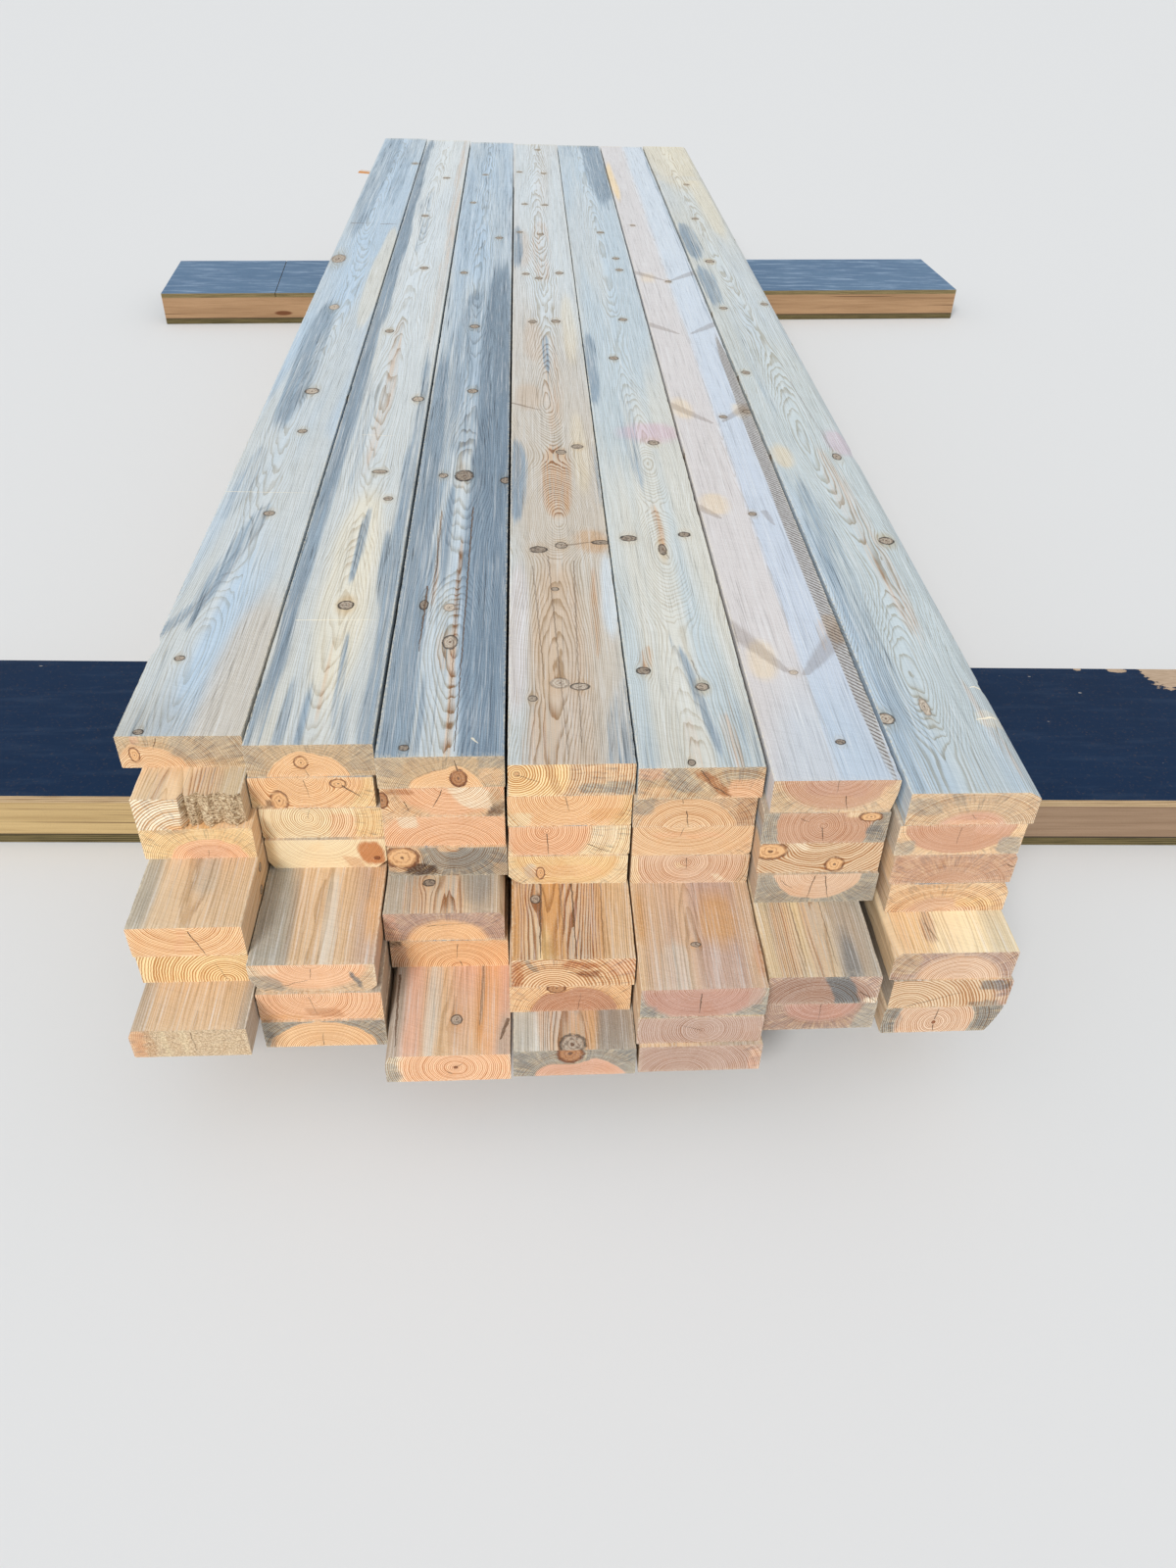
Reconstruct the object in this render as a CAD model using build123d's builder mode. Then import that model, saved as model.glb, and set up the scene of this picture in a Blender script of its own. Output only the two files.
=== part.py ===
"""A stack of rough-sawn pine planks on two built-up bearers.

Seven columns of planks lie side by side and seven layers deep, face to face, with their
near ends staggered. Each bearer is a flat box: two timber rails on edge between a top
and a bottom sheet of film-faced plywood. X runs across the planks, Y along them from
the near ends to the far ends, and Z up. The origin is on the ground, under the middle
of the whole outline. Columns count from the left, layers from the top.
"""

import math
import os

from build123d import *

os.makedirs("parts", exist_ok=True)

# Planks, in millimetres
columns = 7
layers = 7
plank_length = 4800.0
plank_width = 200.0
plank_thickness = 63.0
column_pitch = 206.0

# Bearers
bearer_length = 3600.0
bearer_width = 508.0
top_sheet_thickness = 18.0
bottom_sheet_thickness = 21.0
rail_height = 90.0
rail_thickness = 45.0
stack_left_inset = 940.0
front_bearer_setback = 695.0
rear_bearer_inset = 560.0
front_bearer_turn = -1.4
rear_bearer_turn = 3.1
sheet_seam_from_end = 490.0
sheet_seam_gap = 3.0

# How far each near end stands out past the end line, by column, top layer first
near_end_stand_out = {
    1: (-83, -1, -2, 155, 153, 251, 90),
    2: (-57, -53, -49, -42, 178, 183, 188),
    3: (-24, -26, -25, -18, 72, 75, 263),
    4: (0, 0, 2, 6, 178, 177, 258),
    5: (11, 7, 7, 9, 245, 247, 255),
    6: (47, 51, 53, 59, 225, 225, 110),
    7: (81, 82, 83, 86, 179, 184, 187),
}

# Sideways shift of each plank's left edge from its column line
side_shift = {
    1: (-2, 29, 28, 33, 35, 33, 30),
    2: (-3, -5, 4, 6, 5, 10, 11),
    3: (2, 3, 3, 5, 1, 7, 9),
    4: (4, 2, 3, 1, 6, 2, 7),
    5: (3, -1, 1, 1, 1, -1, 4),
    6: (4, -4, -3, -1, -2, -2, 1),
    7: (5, -1, 4, 8, 5, 13, 10),
}

# Planks sawn wider or narrower than the nominal width, and those cut overlong
width_change = {
    1: (0, -30, -20, -23, -26, -19, -15),
    2: (5, 2, 1, 0, -1, -1, -1),
    3: (3, 0, 0, 0, -1, -2, 0),
    4: (2, 1, 0, 0, -2, -2, -2),
    5: (1, 0, -1, -1, 0, 1, 0),
    6: (0, 3, 2, 2, -20, -16, -5),
    7: (6, 4, 2, 1, 3, 2, 1),
}
overlength = {(6, 1): 30.0, (7, 1): 80.0, (2, 3): 15.0, (5, 6): 20.0, (4, 7): 10.0}

# Wane: the log's round left on a corner, as (corner, across, down, log radius, growth of
# that radius towards the far end). The sizes are at the near end, or at the far end for
# the planks in wane_at_far_end.
log_radius = 300.0
wane = {
    (1, 1): (("bottom_left", 80, 24, 600.0, -24.0),),
    (1, 6): (("top_left", 8, 15, log_radius, 8.0),),
    (2, 4): (("bottom_left", 10, 17, log_radius, 7.0), ("bottom_right", 17, 15, log_radius, 12.0)),
    (2, 5): (("bottom_left", 16, 34, log_radius, 9.0), ("bottom_right", 12, 13, log_radius, 6.0)),
    (3, 7): (("top_left", 8, 20, log_radius, 3.0),),
    (4, 4): (("bottom_left", 21, 18, log_radius, 16.0),),
    (3, 5): (("top_right", 9, 11, log_radius, 5.0),),
    (5, 3): (("bottom_right", 9, 6, log_radius, -4.0),),
    (6, 1): (("bottom_right", 8, 42, log_radius, 8.0),),
    (7, 1): (("top_right", 20, 12, log_radius, 4.0),),
    (7, 3): (("top_right", 6, 10, log_radius, -3.0),),
    (7, 4): (("top_right", 11, 22, log_radius, 4.0),),
    (7, 5): (("top_left", 11, 13, log_radius, 9.0),),
    (7, 6): (("top_right", 8, 5, log_radius, -5.0),),
    (7, 7): (("bottom_right", 19, 56, log_radius, 8.0),),
}
wane_at_far_end = {(1, 1)}

# Nicks in a side edge, as (side, distance from the near end, length, depth)
nicks = {
    (1, 1): (("left", 270.0, 62.0, 8.0),),
    (7, 1): (("right", 300.0, 46.0, 5.0), ("right", 1270.0, 70.0, 6.0)),
}

# The broken near end of one plank: points from its right edge to its left, as
# (share of the width, depth of the break)
broken_plank = (1, 2)
break_line = ((1.0, 17), (0.9, 9), (0.79, 18), (0.68, 8), (0.59, 16), (0.51, 7), (0.46, 14), (0.42, 0))

# A split lath end that pokes out over the second layer, near the far end
lath_setback = 4400.0
lath_width = 24.0
lath_length = 140.0
lath_turn = -18.0
lath_seat = 16.0
lath_outer_thickness = 9.0
lath_inner_thickness = 4.0

# Heights and the stack's own datum
bearer_height = bottom_sheet_thickness + rail_height + top_sheet_thickness
rear_bearer_setback = plank_length - rear_bearer_inset
far_ends = [
    plank_length + overlength.get((column, layer + 1), 0.0) - near_end_stand_out[column][layer]
    for column in range(1, columns + 1)
    for layer in range(layers)
]
near_most = -max(max(row) for row in near_end_stand_out.values())
end_line = -(near_most + max(far_ends)) / 2
stack_left = -bearer_length / 2 + stack_left_inset


def plank_box(column, layer):
    """The left edge, near end, underside, width and length of one plank."""
    left = stack_left + (column - 1) * column_pitch + side_shift[column][layer - 1]
    near = end_line - near_end_stand_out[column][layer - 1]
    bottom = bearer_height + (layers - layer) * plank_thickness
    width = plank_width + width_change[column][layer - 1]
    length = plank_length + overlength.get((column, layer), 0.0)
    return left, near, bottom, width, length


def log_centre(corner, width, across, down, radius):
    """The middle of the round that leaves a wane of these sizes on a corner of the section."""
    to_right = -1 if corner.endswith("right") else 1
    to_top = -1 if corner.startswith("top") else 1
    tip = Vector(0 if to_right == 1 else width, 0 if to_top == 1 else plank_thickness)
    chord = math.hypot(across, down)
    depth = math.sqrt(radius**2 - chord**2 / 4)
    return tip + Vector(
        to_right * (across / 2 + depth * down / chord),
        to_top * (down / 2 + depth * across / chord),
    )


def make_plank(column, layer):
    """One plank: the sawn section met by its log's round, its nicks and its broken end."""
    left, near, bottom, width, length = plank_box(column, layer)
    with BuildPart() as plank:
        with BuildSketch(Plane((left, near, bottom))):
            Rectangle(width, length, align=(Align.MIN, Align.MIN))
        extrude(amount=plank_thickness)

        for corner, across, down, radius, growth in wane.get((column, layer), ()):
            centre = log_centre(corner, width, across, down, radius)
            near_radius = radius - growth if (column, layer) in wane_at_far_end else radius
            log_start = (left + centre.X, near, bottom + centre.Y)
            with Locations(Plane(log_start, x_dir=(1, 0, 0), z_dir=(0, 1, 0))):
                Cone(
                    near_radius,
                    near_radius + growth,
                    length,
                    align=(Align.CENTER, Align.CENTER, Align.MIN),
                    mode=Mode.INTERSECT,
                )

        for side, distance, nick_length, depth in nicks.get((column, layer), ()):
            radius = (nick_length**2 / 4 + depth**2) / (2 * depth)
            outward = -1 if side == "left" else 1
            edge = left if side == "left" else left + width
            with Locations((edge + outward * (radius - depth), near + distance, bottom)):
                Cylinder(
                    radius,
                    plank_thickness,
                    align=(Align.CENTER, Align.CENTER, Align.MIN),
                    mode=Mode.SUBTRACT,
                )

        if (column, layer) == broken_plank:
            with BuildSketch(Plane((left, near, bottom))):
                with BuildLine():
                    splinters = [(share * width, depth) for share, depth in break_line]
                    Polyline(*splinters, (width, 0), close=True)
                make_face()
            extrude(amount=plank_thickness, mode=Mode.SUBTRACT)
    return plank


def make_bearer(place, setback, turn, seam_from_end):
    """One bearer's sheets and rails, turned a little about its own middle."""
    middle = Plane((0, end_line + setback, 0)).rotated((0, 0, turn))
    rail_offset = bearer_width / 2 - rail_thickness / 2
    pieces = {}

    with BuildPart(middle) as bottom_sheet:
        Box(
            bearer_length,
            bearer_width,
            bottom_sheet_thickness,
            align=(Align.CENTER, Align.CENTER, Align.MIN),
        )
    pieces[f"{place}_bearer_bottom_sheet"] = bottom_sheet

    for side, offset in (("front", -rail_offset), ("back", rail_offset)):
        with BuildPart(middle.offset(bottom_sheet_thickness)) as rail:
            with Locations((0, offset)):
                Box(
                    bearer_length,
                    rail_thickness,
                    rail_height,
                    align=(Align.CENTER, Align.CENTER, Align.MIN),
                )
        pieces[f"{place}_bearer_{side}_rail"] = rail

    start = -bearer_length / 2
    stretches = {"top_sheet": (start + seam_from_end, bearer_length / 2)}
    if seam_from_end:
        stretches["top_sheet_end_piece"] = (start, start + seam_from_end - sheet_seam_gap)
    for name, (low, high) in stretches.items():
        with BuildPart(middle.offset(bottom_sheet_thickness + rail_height)) as top_sheet:
            with Locations(((low + high) / 2, 0)):
                Box(
                    high - low,
                    bearer_width,
                    top_sheet_thickness,
                    align=(Align.CENTER, Align.CENTER, Align.MIN),
                )
        pieces[f"{place}_bearer_{name}"] = top_sheet
    return pieces


def make_lath():
    """The split lath: it lies on the second layer, in the gap that the wane above leaves."""
    left, _, bottom, _, _ = plank_box(1, 2)
    seat = (left + lath_seat, end_line + lath_setback, bottom + plank_thickness)
    along = Vector(1, 0, 0).rotate(Axis.Z, lath_turn)
    with BuildPart() as lath:
        with BuildSketch(Plane(seat, x_dir=along, z_dir=along.cross(Vector(0, 0, 1)))):
            with BuildLine():
                Polyline(
                    (-lath_length, 0),
                    (0, 0),
                    (0, lath_inner_thickness),
                    (lath_outer_thickness - lath_length, lath_outer_thickness),
                    close=True,
                )
            make_face()
        extrude(amount=lath_width / 2, both=True)
    return lath


pieces = {
    f"plank_column{column}_layer{layer}": make_plank(column, layer)
    for column in range(1, columns + 1)
    for layer in range(1, layers + 1)
}
pieces.update(make_bearer("front", front_bearer_setback, front_bearer_turn, 0.0))
pieces.update(make_bearer("rear", rear_bearer_setback, rear_bearer_turn, sheet_seam_from_end))
pieces["lath_end"] = make_lath()

for name, piece in pieces.items():
    piece.part.label = name
    export_step(piece.part, f"parts/{name}.step")
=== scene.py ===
"""The look of the plank stack: sawn pine with its rings, knots, blue stain and saw marks.

Every plank is a new mesh that follows its CAD node: a grid carried along the plank and
closed by a cap at each end. A plank's key is its column from the left and its layer from
the top. Distances along a plank are measured from the end line that the near ends stand
about, and distances on an end face from its left edge and its top, all in millimetres.
"""

import math
from functools import partialmethod
from types import SimpleNamespace

import bpy
import numpy as np
from mathutils import Matrix, Vector


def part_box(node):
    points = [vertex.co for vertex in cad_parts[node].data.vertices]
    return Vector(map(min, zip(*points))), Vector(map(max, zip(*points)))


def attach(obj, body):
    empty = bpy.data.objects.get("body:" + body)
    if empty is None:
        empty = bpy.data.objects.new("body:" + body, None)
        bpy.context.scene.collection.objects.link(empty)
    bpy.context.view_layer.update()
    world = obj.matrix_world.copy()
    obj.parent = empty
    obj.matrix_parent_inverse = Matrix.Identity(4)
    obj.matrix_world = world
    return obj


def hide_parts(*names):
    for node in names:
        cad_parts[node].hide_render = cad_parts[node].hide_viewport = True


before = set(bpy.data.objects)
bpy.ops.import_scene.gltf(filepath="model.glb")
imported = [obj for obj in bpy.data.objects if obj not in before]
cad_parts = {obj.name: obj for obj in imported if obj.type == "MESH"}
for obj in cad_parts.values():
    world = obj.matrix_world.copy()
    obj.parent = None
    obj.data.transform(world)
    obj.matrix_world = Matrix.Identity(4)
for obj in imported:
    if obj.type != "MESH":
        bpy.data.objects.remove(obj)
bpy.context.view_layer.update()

MM = 0.001
END_LINE = -2310.0
THICKNESS = 63.0

# Further, in mm, than any mark reaches
FAR = 1000.0

# The sides of a plank
NEAR_END, LEFT, RIGHT, UNDERSIDE, TOP, FAR_END = range(6)

# Grid of a plank's section, in cells, and the radius of its sawn arrises
CELLS_ACROSS = 58
CELLS_DOWN = 19
ARRIS = 1.3

# How far along a plank the unevenness of its ends fades out, in mm
END_FADE = 30.0

# Distance between the whorls of the seeded knots, in mm
WHORL_PITCH = 560.0

# How much further than its half sizes a knot bends the grain, across, along and up
SWIRL = (1.3, 2.4, 1.3)

# Colours as they look on the wood, the film and the plies, red, green and blue out of 255
COLOURS = {
    "orange": (254, 214, 166),
    "pink": (253, 208, 168),
    "rose": (232, 188, 162),
    "dusk": (200, 173, 158),
    "cream": (255, 238, 198),
    "yellow": (255, 226, 172),
    "white": (255, 244, 218),
    "tan": (244, 210, 168),
    "fawn": (230, 204, 170),
    "amber": (238, 184, 120),
    "grey": (214, 192, 158),
    "ash": (176, 172, 160),
    "slate": (122, 126, 128),
    "brown": (182, 122, 74),
    "ochre": (214, 166, 110),
    "bark": (88, 64, 46),
    "pale_blue": (192, 213, 232),
    "lavender": (208, 219, 235),
    "blue": (160, 181, 198),
    "deep_blue": (116, 136, 154),
    "dry_cream": (211, 218, 220),
    "dry_tan": (212, 203, 190),
    "dry_pink": (223, 219, 220),
    "dry_green": (203, 216, 222),
    "straw": (224, 224, 216),
    "far_white": (222, 234, 244),
    "rust": (206, 134, 76),
    "mauve": (202, 162, 146),
    "spray": (224, 186, 208),
    "clay": (212, 172, 144),
    "umber": (182, 154, 138),
    "ruddy": (216, 170, 140),
    "pale_pink": (236, 206, 178),
    "sawn": (226, 194, 156),
    "sawn_grey": (186, 172, 154),
    "rail_yellow": (206, 178, 128),
    "rail_weathered": (160, 134, 110),
    "rail_brown": (178, 143, 108),
    "rail_vein": (96, 70, 48),
    "rail_knot": (112, 70, 44),
    "film_night": (10, 30, 56),
    "film_navy": (24, 46, 74),
    "film_deep": (8, 32, 60),
    "film_blue": (14, 46, 80),
    "film_sheen_dark": (74, 104, 138),
    # The rear sheet's film colours, paler than the front's as painted sunlight and sky reflection
    "film_sheen_pale": (104, 134, 162),
    "film_smear": (158, 180, 206),
    "film_chip": (176, 170, 164),
    "ply_damp": (84, 76, 50),
    "ply_dull": (146, 130, 90),
    "ply_tan": (186, 152, 112),
    "ply_cream": (226, 202, 164),
    "ply_olive": (120, 108, 76),
    "ply_straw": (176, 156, 112),
    "ply_bare": (214, 192, 168),
    "ply_bare_fibre": (150, 124, 100),
    "lath_orange": (214, 150, 92),
    "lath_top": (226, 206, 190),
    "lath_fibre": (150, 96, 56),
}


def linear(red, green, blue):
    """A display colour as the linear one that a shader takes."""
    parts = np.array((red, green, blue), float) / 255
    return np.where(parts <= 0.04045, parts / 12.92, ((parts + 0.055) / 1.055) ** 2.4)


PAINT = {name: linear(*colour) for name, colour in COLOURS.items()}


def paint(name, share=1.0):
    """A named colour for a shader, darkened to a share of itself."""
    return tuple(PAINT[name] * share)


def blended(first, second, share):
    """Rows of colour that go from the first to the second by each row's share."""
    share = share[:, None]
    return first * (1 - share) + second * share


def smooth(low, high, x):
    """0 below low, 1 above high, and a smooth cubic between them."""
    t = np.clip((x - low) / (high - low), 0, 1)
    return t * t * (3 - 2 * t)


def ripple(seed, *places):
    """Soft noise from about -1 to 1: six sine waves of random direction over the places."""
    rng = np.random.default_rng(seed)
    total = 0.0
    for _ in range(6):
        directions = rng.normal(0, 1, len(places))
        total = total + np.sin(sum(d * p for d, p in zip(directions, places)) + rng.uniform(0, 6.3))
    return total / 3.4


# Planks: what each one is

# Wane, as (corner, across, down, log radius, growth of that radius to the far end)
LOG = 300.0
WANE = {
    (1, 1): (("bottom_left", 80, 24, 600.0, -24.0),),
    (1, 6): (("top_left", 8, 15, LOG, 8.0),),
    (2, 4): (("bottom_left", 10, 17, LOG, 7.0), ("bottom_right", 17, 15, LOG, 12.0)),
    (2, 5): (("bottom_left", 16, 34, LOG, 9.0), ("bottom_right", 12, 13, LOG, 6.0)),
    (3, 5): (("top_right", 9, 11, LOG, 5.0),),
    (3, 7): (("top_left", 8, 20, LOG, 3.0),),
    (4, 4): (("bottom_left", 21, 18, LOG, 16.0),),
    (5, 3): (("bottom_right", 9, 6, LOG, -4.0),),
    (6, 1): (("bottom_right", 8, 42, LOG, 8.0),),
    (7, 1): (("top_right", 20, 12, LOG, 4.0),),
    (7, 3): (("top_right", 6, 10, LOG, -3.0),),
    (7, 4): (("top_right", 11, 22, LOG, 4.0),),
    (7, 5): (("top_left", 11, 13, LOG, 9.0),),
    (7, 6): (("top_right", 8, 5, LOG, -5.0),),
    (7, 7): (("bottom_right", 19, 56, LOG, 8.0),),
}
SIZED_AT_FAR_END = {(1, 1)}

# Nicks in a side edge, as (side, distance from the near end, length, depth)
NICKS = {
    (1, 1): (("left", 270.0, 62.0, 8.0),),
    (7, 1): (("right", 300.0, 46.0, 5.0), ("right", 1270.0, 70.0, 6.0)),
}

# The plank with a splintered near end: shares of its width, and how deep the break is there
BROKEN = (1, 2)
BREAK_SHARES = (0.0, 0.42, 0.46, 0.51, 0.59, 0.68, 0.79, 0.9, 1.0)
BREAK_DEPTHS = (0, 0, 14, 7, 16, 8, 18, 9, 17)

# Near ends with rotten or torn wood, as (across from, across to, strength)
ROTTEN = {(1, 2): (74, 200, 1.0), (1, 6): (20, 190, 0.55)}

# Strength of the rings on the long faces, and on those where it isn't the common one
RING_STRENGTH = 0.62
TOP_RINGS = {(3, 1): 0.75, (4, 1): 0.85, (6, 1): 0.4, (7, 1): 0.8, (4, 5): 1.3, (5, 5): 0.8}

# Pitch of the rings on the long faces, in mm, and on the top where they lie closer
RING_PITCH = 3.0
CLOSE_RINGS = {(6, 1): 2.2}

# The top that is pinkish on its left half and bluish on its right
SPLIT_TONE = (6, 1)

# The ends whose heart stands out crisply from the sapwood, and how soft the edge of the
# heart is there and elsewhere, in mm
CRISP_HEARTS = {
    (1, 1), (1, 3), (2, 1), (2, 7), (3, 1), (4, 6), (4, 7), (6, 4), (7, 7), (5, 2), (6, 2), (7, 2),
}
CRISP_EDGE = 2.0
SOFT_EDGE = 9.0

# Painted sky sheen: the paler colour that each column's top plank takes on towards its far end
FAR_SHEEN_COLOURS = {
    1: "pale_blue",
    2: "far_white",
    3: "pale_blue",
    4: "far_white",
    5: "pale_blue",
    6: "far_white",
    7: "straw",
}

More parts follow.
